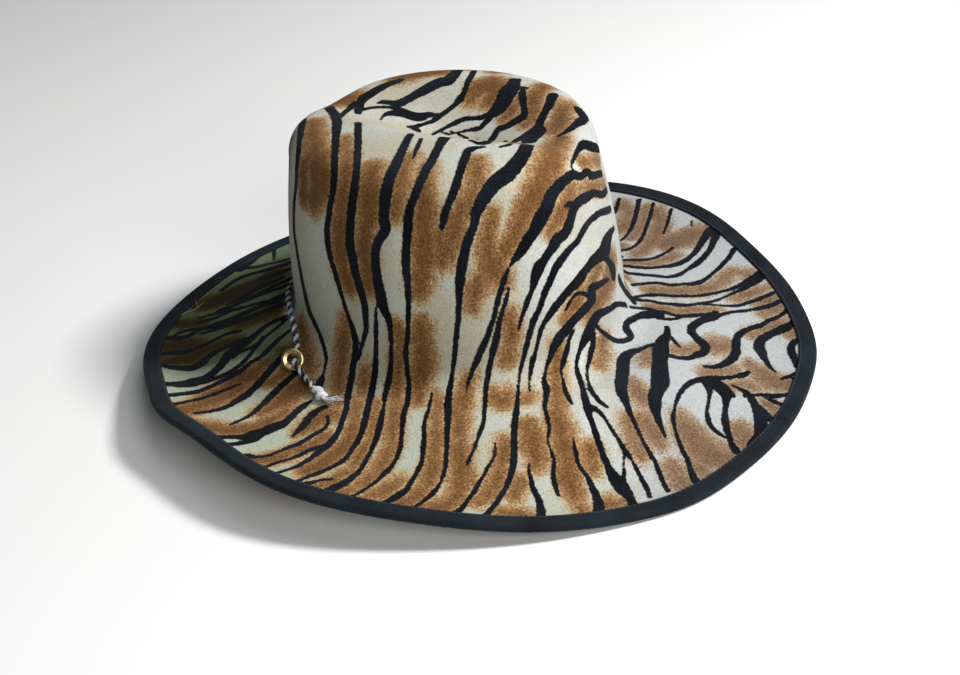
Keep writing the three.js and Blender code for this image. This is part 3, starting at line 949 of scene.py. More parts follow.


# Stripes of the print as the photograph shows them, charted. Each stripe is a line of (across, down,
# width) in the photograph's pixels
CROWN_STRIPES = [
    [(303, 118, 8), (301, 130, 7), (299, 145, 5), (297, 165, 4), (296, 185, 3), (294, 205, 3),
     (294, 230, 3), (296, 245, 3), (301, 275, 3), (308, 307, 4), (314, 322, 4), (320, 335, 4),
     (326, 355, 4), (325, 367, 3), (323, 374, 3), (321, 380, 8), (318, 388, 8)],
    [(330, 107, 8), (335, 115, 10), (337, 122, 11), (336, 135, 9), (335, 150, 8), (334, 180, 7),
     (332, 195, 6), (328, 220, 6), (327, 230, 6), (328, 245, 6), (331, 260, 5), (335, 272, 5),
     (342, 297, 4), (349, 318, 4), (353, 330, 6), (356, 345, 7), (353, 368, 7), (349, 390, 7),
     (347, 402, 7), (346, 410, 6), (343, 419, 6), (340, 428, 6), (335, 437, 7), (328, 445, 7),
     (320, 451, 6), (311, 458, 5), (300, 465, 4), (290, 469, 3), (276, 473, 3), (265, 475, 3)],
    [(326, 108, 3), (333, 113, 7), (337, 120, 10)],
    [(340, 117, 5), (344, 113, 5), (350, 108, 5), (356, 103, 7)],
    [(400, 80, 3), (390, 83, 5), (380, 88, 7), (370, 94, 8), (362, 100, 9), (359, 108, 9), (358, 118, 8),
     (358, 145, 8), (356, 175, 8), (352, 205, 9), (350, 230, 9), (350, 245, 9), (353, 260, 9),
     (356, 275, 8), (364, 303, 7), (366, 327, 6), (364, 338, 5), (358, 358, 4)],
    [(410, 135, 7), (406, 142, 8), (398, 160, 10), (389, 180, 12), (385, 200, 12), (384, 220, 11),
     (385, 230, 11), (379, 240, 10), (376, 248, 9), (375, 258, 9), (377, 278, 10), (381, 298, 11),
     (384, 310, 9), (389, 320, 7), (391, 340, 5), (391, 360, 5), (389, 380, 7), (385, 395, 6),
     (384, 405, 4), (382, 415, 6), (380, 424, 7), (378, 433, 7), (375, 441, 6), (371, 451, 5),
     (366, 460, 5), (361, 469, 5), (354, 476, 6), (346, 482, 7), (336, 487, 7), (326, 491, 6),
     (315, 494, 4)],
    [(378, 300, 3), (376, 310, 3), (376, 330, 5), (376, 350, 5), (375, 370, 7), (373, 385, 7),
     (369, 402, 7), (367, 412, 7), (364, 423, 7), (361, 434, 6), (357, 442, 6), (352, 449, 5),
     (347, 457, 5), (341, 462, 5), (332, 467, 4), (321, 472, 4), (310, 476, 4), (300, 480, 3),
     (290, 483, 3), (286, 484, 2)],
    [(421, 139, 4), (418, 146, 5), (415, 153, 4), (413, 159, 2)],
    [(447, 135, 12), (443, 140, 10), (438, 148, 9), (433, 158, 9), (422, 178, 9), (414, 198, 9),
     (410, 208, 9), (408, 220, 10), (408, 230, 10), (406, 250, 9), (406, 270, 9), (408, 290, 7),
     (408, 330, 5), (406, 350, 6), (407, 370, 5), (409, 385, 5), (407, 403, 6), (404, 412, 6),
     (403, 421, 6), (402, 432, 5), (401, 443, 5), (399, 452, 5), (396, 459, 5), (391, 467, 5),
     (385, 473, 6), (378, 480, 4), (371, 485, 4), (364, 490, 4), (355, 495, 3), (344, 499, 3)],
    [(484, 147, 2), (475, 148, 4), (468, 151, 8), (465, 158, 9), (459, 175, 9), (455, 188, 9),
     (447, 208, 8), (444, 218, 8), (442, 227, 6), (442, 230, 3)],
    [(605, 150, 7), (598, 148, 8), (590, 146, 11), (582, 146, 9), (577, 152, 6), (573, 160, 4),
     (571, 167, 3)],
    [(608, 172, 7), (599, 174, 8), (592, 176, 9), (587, 172, 8), (580, 177, 8), (574, 174, 10),
     (562, 183, 11), (552, 195, 13), (546, 210, 14), (541, 218, 15), (536, 228, 13), (528, 240, 12),
     (522, 250, 11), (516, 258, 8), (509, 268, 3), (504, 280, 6), (498, 300, 6), (493, 320, 5),
     (486, 340, 7), (477, 360, 7), (469, 380, 4), (466, 390, 2)],
    [(509, 288, 2), (506, 300, 5), (500, 320, 5), (496, 340, 8), (491, 360, 6), (487, 380, 6),
     (485, 403, 5), (484, 415, 5), (483, 424, 5), (480, 432, 5), (477, 440, 4), (474, 449, 4),
     (470, 457, 4), (467, 465, 3)],
    [(614, 186, 5), (607, 190, 6), (602, 195, 8), (595, 193, 8), (587, 197, 10), (580, 201, 11),
     (574, 208, 9), (567, 230, 10), (557, 240, 12), (551, 250, 9), (544, 260, 9), (538, 270, 12),
     (532, 290, 6), (528, 300, 6), (521, 320, 4), (518, 330, 2)],
    [(565, 206, 4), (571, 203, 5)],
    [(536, 133, 14), (530, 140, 13), (526, 148, 14), (522, 156, 15), (511, 170, 17), (503, 177, 17),
     (494, 184, 16), (484, 198, 14), (480, 206, 13), (476, 214, 11), (474, 225, 9), (468, 240, 10),
     (463, 260, 11), (460, 280, 10), (459, 300, 7), (458, 320, 6), (456, 340, 6), (454, 360, 5),
     (452, 375, 5), (448, 403, 8), (448, 417, 7), (447, 430, 6), (447, 442, 6), (446, 462, 5),
     (444, 473, 5), (441, 481, 4), (437, 488, 5), (432, 494, 5), (425, 500, 4), (418, 505, 4),
     (410, 509, 3)],
    [(616, 207, 7), (606, 211, 8), (600, 213, 7), (588, 223, 6), (578, 240, 6), (569, 250, 7),
     (561, 260, 8), (555, 270, 8), (546, 290, 7), (539, 310, 6), (534, 320, 7), (528, 340, 6),
     (523, 360, 5), (519, 380, 3), (518, 395, 4), (517, 403, 5), (516, 412, 7), (514, 432, 7),
     (514, 455, 8), (513, 465, 8), (511, 474, 7), (508, 482, 6), (504, 491, 6), (499, 499, 6),
     (493, 507, 6), (484, 517, 7)],
    [(619, 224, 4), (612, 231, 5), (608, 241, 9), (604, 251, 14), (594, 260, 10), (586, 270, 8),
     (579, 280, 10), (569, 290, 8), (561, 300, 8), (553, 310, 8), (546, 320, 6), (541, 330, 5),
     (536, 350, 4), (533, 360, 6), (530, 375, 4), (529, 385, 3), (530, 391, 2)],
    [(605, 256, 6), (609, 262, 6), (613, 270, 7), (614, 276, 4)],
    [(609, 279, 3), (605, 281, 5), (592, 290, 9), (592, 300, 8), (584, 310, 9), (574, 320, 9),
     (566, 330, 10), (558, 340, 10), (553, 350, 8), (549, 360, 5), (546, 370, 4), (544, 380, 5),
     (547, 390, 8), (545, 403, 5), (546, 412, 5), (549, 427, 4), (548, 435, 4), (548, 441, 3),
     (550, 448, 3), (553, 457, 4), (554, 466, 5), (553, 475, 6), (555, 484, 5), (557, 491, 5),
     (559, 496, 3)],
    [(566, 309, 3), (573, 297, 3), (579, 293, 4), (585, 294, 5), (590, 297, 6)],
    [(626, 305, 6), (618, 304, 6), (610, 309, 7), (602, 313, 8), (596, 318, 10), (588, 333, 10),
     (584, 341, 8), (580, 350, 5), (577, 360, 4), (577, 370, 5), (580, 380, 6), (583, 390, 6),
     (587, 406, 9), (589, 414, 7), (592, 423, 6), (595, 432, 7), (598, 441, 7), (602, 452, 7),
     (606, 462, 7), (610, 471, 9), (616, 480, 13), (623, 489, 14), (629, 497, 10), (633, 504, 9)],
    [(593, 335, 6), (593, 345, 6), (591, 353, 6), (587, 370, 4), (588, 380, 4), (591, 390, 5),
     (598, 400, 5), (607, 407, 3)],
    [(598, 327, 5), (600, 330, 4), (608, 336, 5), (617, 341, 5), (627, 340, 6), (631, 336, 6),
     (627, 330, 8), (627, 323, 7), (633, 319, 7), (640, 316, 7), (647, 315, 9), (654, 314, 9),
     (659, 316, 7)],
    [(573, 331, 4), (569, 340, 4), (567, 350, 6), (564, 360, 6), (561, 370, 3), (563, 380, 3),
     (565, 390, 5), (569, 399, 5), (572, 404, 3)],
]
TOP_STRIPES = [
    [(457, 71, 9), (450, 78, 10), (440, 82, 10), (430, 87, 10), (410, 98, 8), (400, 103, 8), (392, 103, 6),
     (382, 102, 4), (378, 103, 2)],
    [(395, 104, 8), (398, 110, 8), (404, 113, 9), (412, 116, 9), (420, 117, 9), (428, 115, 6),
     (440, 115, 4)],
    [(362, 110, 3), (370, 108, 3), (385, 107, 3), (395, 108, 5)],
    [(380, 120, 2), (385, 115, 4), (392, 113, 6), (400, 113, 8)],
    [(474, 71, 6), (468, 82, 6), (464, 92, 5), (461, 98, 8), (455, 105, 5), (448, 110, 5), (436, 119, 5),
     (430, 122, 4), (418, 126, 4), (409, 127, 3)],
    [(413, 128, 4), (418, 131, 6), (417, 134, 4)],
    [(515, 80, 12), (512, 86, 13), (508, 92, 17), (502, 104, 15), (497, 110, 12), (488, 115, 7),
     (478, 118, 5), (465, 119, 5), (455, 123, 5), (445, 128, 4), (437, 132, 3), (430, 136, 2)],
    [(520, 88, 4), (527, 88, 3)],
    [(522, 92, 8), (523, 100, 8), (524, 108, 7), (524, 115, 8), (518, 120, 7), (505, 127, 6),
     (498, 130, 6), (492, 139, 6), (484, 143, 4), (475, 142, 3), (460, 135, 2), (450, 131, 2)],
    [(440, 132, 2), (450, 134, 2), (460, 132, 2), (470, 130, 4), (480, 128, 5), (484, 124, 5),
     (490, 118, 6)],
    [(553, 95, 11), (549, 105, 9), (545, 112, 8), (541, 120, 8), (537, 128, 8), (531, 133, 8),
     (524, 137, 6), (516, 141, 4), (508, 145, 3), (500, 147, 2)],
    [(578, 108, 3), (582, 113, 8), (584, 119, 10), (578, 123, 9), (572, 128, 6), (566, 132, 4),
     (558, 136, 2)],
]
LEFT_BRIM_STRIPES = [
    [(290, 262, 2), (265, 270, 3), (240, 278, 3), (222, 290, 3)],
    [(292, 278, 3), (270, 288, 3), (245, 300, 3), (220, 312, 3), (200, 318, 2)],
    [(288, 292, 3), (265, 304, 4), (240, 316, 3), (215, 326, 2)],
    [(240, 319, 3), (215, 327, 3), (185, 331, 3), (170, 338, 2)],
    [(264, 251, 4), (252, 261, 5), (241, 270, 5)],
    [(232, 270, 5), (240, 268, 5), (247, 268, 3), (256, 267, 3), (265, 265, 3), (281, 261, 3),
     (287, 260, 3)],
    [(274, 250, 5), (274, 260, 3)],
    [(263, 271, 3), (272, 269, 3), (280, 266, 3), (287, 264, 3)],
    [(262, 278, 3), (270, 276, 4), (280, 273, 4), (287, 270, 3)],
    [(228, 304, 2), (240, 299, 4), (250, 293, 5), (258, 288, 5), (266, 285, 4), (276, 281, 3),
     (284, 277, 2)],
    [(220, 310, 3), (235, 305, 3), (250, 299, 3), (270, 291, 3), (280, 288, 3), (287, 285, 3)],
    [(200, 322, 3), (215, 318, 3), (230, 311, 3), (245, 307, 3), (260, 303, 3), (275, 300, 3),
     (287, 295, 3)],
    [(163, 338, 4), (180, 338, 4), (190, 335, 4), (202, 329, 3), (215, 324, 3), (230, 319, 3),
     (243, 313, 3), (255, 308, 3), (270, 304, 3), (283, 301, 3)],
    [(203, 333, 3), (214, 330, 3), (225, 326, 4), (238, 321, 5), (250, 317, 5), (262, 312, 4),
     (275, 307, 4), (285, 304, 3)],
    [(160, 354, 4), (175, 353, 4), (185, 352, 4), (197, 348, 3), (208, 343, 3), (220, 337, 3),
     (230, 333, 3), (240, 331, 3)],
    [(160, 364, 4), (170, 367, 4), (180, 368, 5), (192, 368, 6), (202, 363, 7), (208, 357, 6),
     (218, 351, 4), (230, 345, 4), (243, 340, 4)],
    [(160, 384, 5), (172, 384, 5), (184, 384, 7), (194, 382, 9), (205, 378, 7), (215, 371, 7),
     (222, 364, 8), (228, 356, 9), (235, 350, 9), (246, 342, 7), (256, 334, 5), (266, 326, 4),
     (277, 320, 4), (286, 317, 4)],
    [(286, 319, 4), (280, 325, 3), (270, 333, 3), (262, 340, 3), (252, 347, 3), (240, 352, 3),
     (233, 358, 3)],
    [(264, 337, 4), (256, 347, 4), (249, 356, 4), (240, 365, 4), (228, 373, 4), (216, 378, 4),
     (205, 382, 4), (196, 384, 3)],
    [(289, 331, 3), (279, 339, 4), (268, 350, 5), (260, 357, 4), (250, 363, 4), (240, 371, 5),
     (230, 377, 5), (220, 382, 4), (207, 388, 4), (195, 392, 4), (180, 394, 4), (170, 395, 4),
     (165, 394, 3)],
    [(168, 405, 3), (181, 403, 3), (194, 400, 3), (206, 397, 3), (220, 392, 3), (230, 388, 3),
     (240, 384, 2)],
    [(196, 413, 3), (206, 412, 3), (220, 409, 4), (230, 405, 5), (238, 400, 6), (245, 396, 7),
     (252, 390, 7), (260, 382, 7), (267, 374, 7), (272, 368, 7), (278, 361, 6), (283, 354, 4)],
    [(232, 424, 3), (243, 419, 3), (252, 414, 4), (260, 407, 5), (267, 400, 6), (273, 394, 7),
     (280, 387, 6), (288, 380, 6), (295, 374, 5), (300, 369, 4)],
    [(210, 436, 4), (220, 437, 4), (235, 437, 4), (245, 437, 6), (255, 434, 8), (263, 432, 9),
     (272, 428, 9), (282, 424, 8), (290, 418, 7), (296, 412, 7), (302, 407, 6), (311, 401, 3)],
    [(216, 441, 3), (225, 444, 4), (235, 444, 4), (245, 442, 5), (255, 439, 6), (262, 435, 5)],
    [(292, 437, 2), (298, 431, 5), (304, 425, 7), (309, 418, 8), (314, 413, 7), (320, 409, 5),
     (325, 407, 4)],
    [(240, 457, 5), (248, 456, 5), (256, 457, 3), (270, 455, 3), (280, 451, 3), (290, 447, 4),
     (300, 443, 4), (308, 438, 4), (317, 433, 4), (324, 429, 4), (328, 423, 4), (327, 416, 4)],
    [(258, 467, 3), (265, 467, 3), (276, 463, 3), (290, 459, 3), (300, 455, 4), (310, 450, 4),
     (320, 447, 4), (327, 444, 3)],
    [(331, 479, 3), (320, 480, 3), (310, 483, 4), (300, 484, 4), (290, 485, 3)],
]
FRONT_BRIM_STRIPES = [
    [(432, 394, 3), (430, 403, 4), (428, 411, 4), (425, 420, 4), (424, 429, 5), (424, 440, 6),
     (423, 450, 6), (422, 460, 5), (418, 470, 5), (413, 479, 5), (408, 487, 6), (402, 493, 7),
     (394, 498, 7), (386, 502, 5), (377, 505, 3)],
    [(495, 443, 2), (495, 451, 4), (493, 459, 4), (488, 467, 4), (484, 475, 4), (479, 483, 5),
     (475, 490, 5), (470, 497, 5), (465, 504, 5), (460, 510, 6), (454, 514, 5)],
    [(529, 464, 2), (529, 471, 4), (531, 479, 5), (533, 488, 6), (537, 496, 7), (540, 504, 8),
     (541, 512, 10), (541, 520, 11)],
    [(573, 436, 2), (574, 444, 4), (576, 454, 5), (578, 463, 4), (582, 470, 4), (587, 477, 5),
     (591, 485, 7), (595, 493, 8), (598, 501, 10), (599, 508, 12), (599, 514, 14)],
    [(590, 407, 6), (597, 410, 5), (604, 417, 4), (610, 427, 4), (616, 436, 4), (621, 444, 5),
     (626, 452, 6), (631, 459, 4), (636, 468, 4), (641, 478, 5), (646, 487, 6), (650, 497, 5)],
    [(625, 452, 5), (624, 462, 3), (624, 472, 4), (623, 483, 8)],
    [(657, 344, 4), (648, 346, 4), (639, 350, 5), (630, 353, 8), (624, 359, 13), (623, 368, 14),
     (622, 378, 14), (621, 387, 13), (623, 395, 11), (626, 403, 8), (629, 411, 6), (633, 420, 5),
     (638, 430, 4), (643, 441, 4), (649, 452, 5), (655, 462, 5), (659, 472, 5), (663, 482, 5),
     (668, 491, 6)],
    [(667, 327, 6), (667, 334, 8), (662, 342, 14), (661, 350, 18), (660, 359, 16), (660, 367, 17),
     (660, 375, 19), (660, 383, 19), (657, 391, 15), (655, 399, 15), (655, 407, 12), (657, 416, 8),
     (660, 424, 6), (663, 432, 4), (666, 438, 2)],
    [(671, 337, 3), (676, 343, 3), (680, 347, 2)],
    [(671, 356, 4), (680, 358, 4), (689, 358, 5), (697, 355, 7), (704, 352, 9), (705, 346, 10),
     (700, 341, 8), (695, 336, 7), (691, 331, 9), (693, 326, 9), (699, 322, 8), (706, 319, 8),
     (713, 317, 8), (720, 315, 4), (731, 312, 3), (750, 310, 3), (765, 307, 5), (774, 304, 5),
     (783, 300, 4)],
    [(703, 366, 2), (712, 367, 4), (722, 365, 6), (731, 360, 9), (736, 352, 10), (736, 343, 9),
     (738, 336, 8), (744, 331, 6), (752, 328, 5), (761, 325, 5), (770, 320, 5), (778, 317, 4),
     (784, 313, 5), (789, 309, 6)],
    [(800, 318, 3), (793, 322, 6), (787, 327, 9), (778, 331, 8), (769, 335, 8), (761, 340, 10),
     (759, 347, 12), (762, 354, 9), (766, 361, 6), (770, 367, 4), (776, 372, 2)],
    [(800, 338, 3), (793, 343, 7), (791, 350, 9), (794, 358, 8), (797, 367, 5)],
    [(798, 372, 3), (792, 375, 4), (787, 378, 3)],
    [(782, 379, 3), (789, 376, 3), (795, 380, 3), (799, 384, 3)],
    [(732, 385, 2), (740, 389, 3), (747, 393, 6), (751, 398, 7), (756, 406, 8), (762, 412, 9),
     (769, 419, 9)],
    [(745, 396, 4), (755, 395, 3), (765, 395, 4), (775, 396, 5), (785, 395, 4), (791, 394, 3)],
    [(766, 398, 2), (773, 401, 4), (783, 405, 4)],
    [(753, 402, 6), (757, 412, 9), (760, 421, 12), (762, 430, 16), (760, 438, 14), (752, 444, 8)],
    [(749, 372, 4), (743, 375, 6), (733, 377, 4), (722, 378, 5), (710, 379, 7), (699, 380, 6),
     (690, 383, 6), (683, 389, 6), (678, 397, 5), (675, 407, 4), (673, 418, 5), (675, 428, 4),
     (678, 439, 4), (682, 449, 5), (687, 459, 5), (690, 468, 6), (693, 476, 8), (696, 481, 9)],
    [(706, 382, 8), (709, 390, 7), (709, 400, 4), (707, 410, 4), (708, 419, 6), (711, 426, 5),
     (717, 432, 4), (723, 436, 3), (728, 438, 3)],
    [(713, 383, 10), (720, 387, 12), (725, 393, 13), (726, 401, 8), (725, 410, 6), (725, 420, 8),
     (727, 430, 7), (730, 439, 6), (733, 446, 7), (737, 452, 8)],
    [(724, 390, 8), (731, 394, 6), (733, 396, 4)],
]
RIGHT_BRIM_STRIPES = [
    [(619, 199, 4), (617, 206, 4), (615, 213, 4)],
    [(639, 200, 6), (637, 210, 5), (634, 221, 5), (630, 230, 4), (625, 237, 3), (619, 242, 3)],
    [(653, 203, 4), (651, 213, 4), (648, 223, 4), (644, 233, 4), (640, 241, 4), (633, 247, 3),
     (625, 250, 3), (618, 251, 2)],
    [(671, 209, 4), (669, 218, 4), (666, 227, 3), (663, 234, 2)],
    [(673, 248, 3), (667, 252, 3), (659, 256, 3), (650, 259, 3), (636, 260, 3), (622, 260, 2)],
    [(711, 230, 10), (706, 236, 8), (701, 243, 7), (696, 251, 6), (689, 258, 5), (680, 263, 5),
     (670, 266, 4), (659, 267, 3), (647, 268, 3), (636, 267, 3), (626, 266, 3)],
    [(716, 235, 9), (713, 243, 7), (709, 251, 6), (703, 258, 6), (696, 264, 6), (687, 270, 4),
     (678, 275, 4), (667, 277, 3), (657, 276, 3), (646, 275, 3), (636, 274, 3), (626, 273, 3)],
    [(734, 249, 6), (730, 256, 5), (724, 263, 5), (719, 268, 4), (713, 273, 4), (707, 278, 4),
     (700, 282, 5), (692, 284, 4), (683, 284, 3), (671, 285, 3), (660, 283, 3), (650, 283, 3),
     (640, 284, 3), (631, 285, 3)],
    [(692, 221, 3), (691, 226, 2)],
    [(619, 278, 4), (622, 285, 4), (626, 292, 4), (631, 298, 5)],
    [(632, 298, 3), (641, 296, 3), (652, 295, 4), (662, 295, 3), (672, 296, 3), (684, 296, 3),
     (696, 296, 3), (710, 294, 3), (724, 291, 3), (734, 288, 4), (743, 284, 5), (751, 279, 6),
     (759, 274, 7)],
    [(631, 298, 5), (641, 300, 3), (651, 301, 3), (660, 303, 3), (670, 304, 3), (680, 305, 4),
     (690, 305, 3), (703, 303, 3), (710, 302, 3), (720, 299, 3), (731, 294, 3), (741, 290, 4),
     (750, 285, 5), (757, 281, 6), (763, 277, 6)],
    [(701, 304, 2), (717, 305, 2), (731, 306, 3), (741, 305, 3), (750, 302, 4), (759, 299, 4),
     (766, 296, 4), (773, 293, 4)],
    [(720, 315, 3), (732, 312, 3), (745, 311, 3), (756, 309, 2)],
    [(630, 307, 3), (639, 308, 3), (650, 309, 3), (657, 311, 3), (664, 312, 3), (671, 314, 3),
     (678, 316, 3), (688, 316, 4), (698, 315, 4), (708, 314, 3), (716, 312, 4)],
    [(658, 318, 3), (666, 319, 3), (674, 319, 3), (681, 317, 3)],
]

# Brown patches between the stripes, in the same columns
CROWN_BROWN = [
    [(312, 122, 14), (316, 150, 20), (319, 178, 22), (313, 202, 14)],
    [(304, 165, 8), (304, 195, 10)],
    [(340, 101, 10), (350, 98, 8)],
    [(346, 138, 9), (346, 170, 12), (343, 200, 13), (340, 230, 14), (342, 260, 14), (348, 285, 10)],
    [(372, 166, 14), (370, 190, 20), (367, 215, 20), (365, 240, 16), (366, 262, 14), (368, 288, 8)],
    [(409, 156, 7), (402, 175, 12), (398, 195, 11), (395, 215, 8)],
    [(426, 165, 8), (424, 190, 16), (424, 220, 22), (424, 245, 24), (422, 270, 20), (420, 293, 12)],
    [(462, 205, 12), (455, 225, 16), (450, 245, 14), (441, 262, 10)],
    [(476, 160, 10), (478, 175, 14), (472, 195, 12), (466, 212, 10)],
    [(560, 137, 10), (553, 155, 22), (545, 175, 26), (535, 195, 22), (525, 215, 18), (514, 236, 16),
     (506, 252, 12)],
    [(492, 214, 6), (490, 232, 10), (488, 250, 16), (493, 268, 24), (500, 280, 16)],
    [(478, 282, 14), (474, 298, 10)],
    [(570, 192, 10), (562, 212, 10), (552, 228, 8)],
    [(604, 184, 8), (592, 187, 6), (580, 188, 5)],
    [(582, 162, 7), (592, 161, 7), (602, 161, 6)],
    [(612, 262, 8), (607, 285, 12), (598, 301, 12), (590, 312, 8)],
    [(405, 76, 9), (422, 73, 9), (440, 72, 7)],
    [(470, 100, 8), (480, 88, 16), (496, 82, 14), (490, 98, 14)],
    [(505, 118, 5), (513, 108, 9), (517, 101, 6)],
    [(545, 85, 8), (535, 97, 12), (532, 110, 10), (528, 122, 6)],
    [(566, 104, 12), (562, 118, 16), (555, 130, 10)],
    [(345, 320, 6), (343, 345, 9), (340, 370, 10), (338, 402, 10)],
    [(398, 325, 7), (400, 350, 10), (398, 375, 10), (395, 405, 8)],
    [(421, 325, 12), (422, 350, 18), (420, 378, 18), (418, 400, 10)],
    [(366, 372, 5), (363, 395, 6)],
    [(301, 325, 6), (305, 350, 12), (309, 372, 10)],
    [(472, 293, 9), (472, 308, 8)],
    [(509, 315, 8), (511, 335, 12), (507, 358, 10)],
    [(598, 268, 8), (594, 280, 8)],
    [(581, 293, 7), (575, 305, 8), (566, 318, 4)],
    [(604, 338, 5), (603, 350, 8), (600, 362, 8)],
    [(556, 345, 5), (558, 362, 9), (556, 380, 9), (557, 405, 10)],
    [(438, 235, 12), (440, 250, 14)],
    [(465, 395, 10), (462, 408, 12)],
    [(530, 205, 8), (520, 225, 8)],
    [(435, 395, 5), (438, 408, 6)],
]
BRIM_BROWN = [
    [(163, 347, 12), (178, 347, 14), (190, 345, 10)],
    [(170, 361, 7), (190, 358, 10), (205, 350, 9), (220, 345, 8), (235, 341, 6)],
    [(180, 324, 7), (190, 324, 8), (200, 325, 6)],
    [(205, 305, 8), (220, 300, 10), (235, 293, 12), (250, 287, 14), (262, 280, 12)],
    [(245, 322, 8), (260, 316, 9), (275, 311, 7)],
    [(205, 396, 6), (225, 388, 12), (240, 380, 16), (252, 373, 14), (262, 364, 8)],
    [(172, 408, 8), (185, 410, 12), (200, 405, 12), (215, 400, 12), (230, 394, 10), (243, 387, 8)],
    [(183, 419, 6), (197, 425, 9), (215, 429, 10), (235, 430, 10), (255, 427, 9), (272, 420, 10),
     (285, 412, 8)],
    [(262, 413, 8), (275, 405, 12), (287, 397, 16), (298, 388, 16), (304, 378, 10)],
    [(270, 383, 6), (280, 376, 9), (290, 369, 9), (297, 362, 8), (286, 350, 10)],
    [(300, 433, 6), (310, 426, 12), (320, 418, 14), (332, 415, 12)],
    [(250, 461, 6), (262, 460, 8), (280, 457, 8), (297, 450, 8), (312, 444, 8), (325, 436, 8)],
    [(300, 473, 5), (315, 467, 12), (330, 458, 14), (345, 446, 14), (352, 433, 12), (355, 418, 10),
     (357, 403, 8)],
    [(302, 488, 5), (318, 486, 6), (335, 479, 5)],
    [(325, 498, 4), (340, 493, 7), (355, 488, 8), (368, 479, 10), (381, 466, 10), (389, 450, 10),
     (392, 430, 12), (395, 408, 10)],
    [(335, 478, 5), (350, 468, 7), (362, 452, 9), (370, 436, 8), (374, 418, 7), (378, 403, 6)],
    [(362, 498, 5), (378, 494, 8), (391, 487, 9), (400, 480, 8)],
    [(395, 506, 5), (410, 499, 10), (425, 487, 12), (433, 470, 14), (436, 450, 12), (436, 430, 10),
     (438, 413, 6)],
    [(425, 509, 8), (445, 505, 14), (458, 492, 18), (462, 475, 20), (460, 455, 16), (458, 435, 12),
     (460, 415, 8)],
    [(478, 502, 8), (492, 490, 14), (500, 475, 14), (503, 458, 12), (505, 442, 8)],
    [(495, 396, 12), (503, 402, 12), (509, 395, 8)],
    [(527, 425, 12), (532, 438, 18), (535, 452, 18), (537, 466, 12)],
    [(523, 400, 6), (528, 396, 6)],
    [(500, 511, 4), (512, 513, 8), (526, 517, 8)],
    [(512, 496, 10), (520, 480, 8)],
    [(555, 412, 12), (560, 426, 18), (563, 442, 20), (566, 456, 18), (567, 472, 18), (572, 487, 18),
     (577, 500, 10), (583, 511, 9)],
    [(590, 447, 8), (593, 458, 12), (594, 468, 10)],
    [(605, 504, 8), (615, 504, 9), (622, 502, 6)],
    [(627, 418, 8), (632, 432, 10), (636, 445, 9), (640, 457, 6)],
    [(647, 352, 10), (646, 361, 9)],
    [(633, 384, 8), (640, 392, 12), (645, 400, 12)],
    [(645, 420, 14), (652, 432, 15), (658, 443, 10)],
    [(672, 465, 8), (678, 478, 13), (684, 485, 10)],
    [(682, 420, 12), (690, 433, 22), (700, 446, 26), (712, 455, 24), (724, 456, 14)],
    [(700, 468, 16), (705, 475, 8)],
    [(740, 428, 12), (745, 437, 14), (743, 446, 8)],
    [(752, 365, 6), (760, 372, 12), (768, 380, 16), (780, 384, 14), (792, 384, 12)],
    [(728, 387, 4), (745, 384, 6), (755, 388, 6)],
    [(765, 403, 6), (772, 408, 8), (776, 413, 5)],
    [(712, 346, 12), (720, 346, 14), (727, 345, 10)],
    [(678, 350, 6), (688, 350, 6), (697, 347, 4)],
    [(705, 373, 5), (720, 372, 5), (735, 370, 4)],
    [(750, 334, 5), (760, 331, 6), (770, 327, 8), (780, 322, 8)],
    [(793, 334, 8), (798, 330, 6)],
    [(632, 238, 5), (640, 228, 10), (645, 215, 8), (647, 208, 6)],
    [(655, 212, 12), (660, 224, 14), (655, 238, 14), (645, 249, 9), (635, 254, 5)],
    [(666, 243, 12), (680, 240, 15), (692, 235, 14), (700, 230, 10)],
    [(622, 205, 8), (628, 212, 11), (625, 225, 9), (619, 232, 6)],
    [(630, 263, 3), (650, 263, 3), (662, 260, 4), (675, 256, 5)],
    [(650, 290, 4), (670, 291, 7), (690, 291, 7), (710, 288, 7), (722, 280, 8), (732, 272, 6)],
    [(740, 273, 4), (748, 275, 6)],
    [(735, 298, 5), (745, 296, 7), (755, 292, 7), (765, 288, 3)],
    [(650, 306, 4), (665, 309, 5), (680, 311, 5), (695, 310, 5), (715, 309, 4)],
    [(758, 304, 5), (768, 300, 6), (776, 297, 4)],
    [(765, 313, 6), (775, 310, 7), (782, 305, 5)],
    [(455, 415, 10), (460, 400, 10), (470, 380, 8)],
]

# Painted shadow: where the crown's shadow falls on the brim behind it, and shade along the crown's left
# edge, the pile is darkened to greenish grey; in the same columns
PAINTED_SHADE_CHART = [
    [(284, 248, 16), (272, 268, 36), (262, 292, 56), (256, 316, 56), (266, 340, 40), (280, 358, 20)],
    [(284, 250, 20), (262, 262, 26), (240, 276, 28), (218, 292, 26), (198, 308, 20)],
    [(240, 290, 40), (215, 310, 42), (190, 330, 34), (172, 344, 22)],
    [(230, 340, 36), (205, 350, 30), (182, 356, 20)],
    [(290, 140, 3), (288, 200, 3), (288, 260, 5), (294, 300, 6)],
]


# Laying the print on the skin. A charted line is cast from the camera onto the skin; where the
# camera can't see the skin, seeded stripes of the same kind go on

CHART_STEP = 3.0
JUMP = 0.009
LEAST_HALF_WIDTH = 0.0007
GREATEST_SPREAD = 3.5
GRAZING = 0.12
PRINT_REACH = 0.012
SIGHT_MARGIN = 0.0015
CAST_STATIONS = 480
CAST_ROWS = [(TOP, 40), (RIM, 10), (SIDE, 40), (FOOT, 14), (BRIM, 50)]


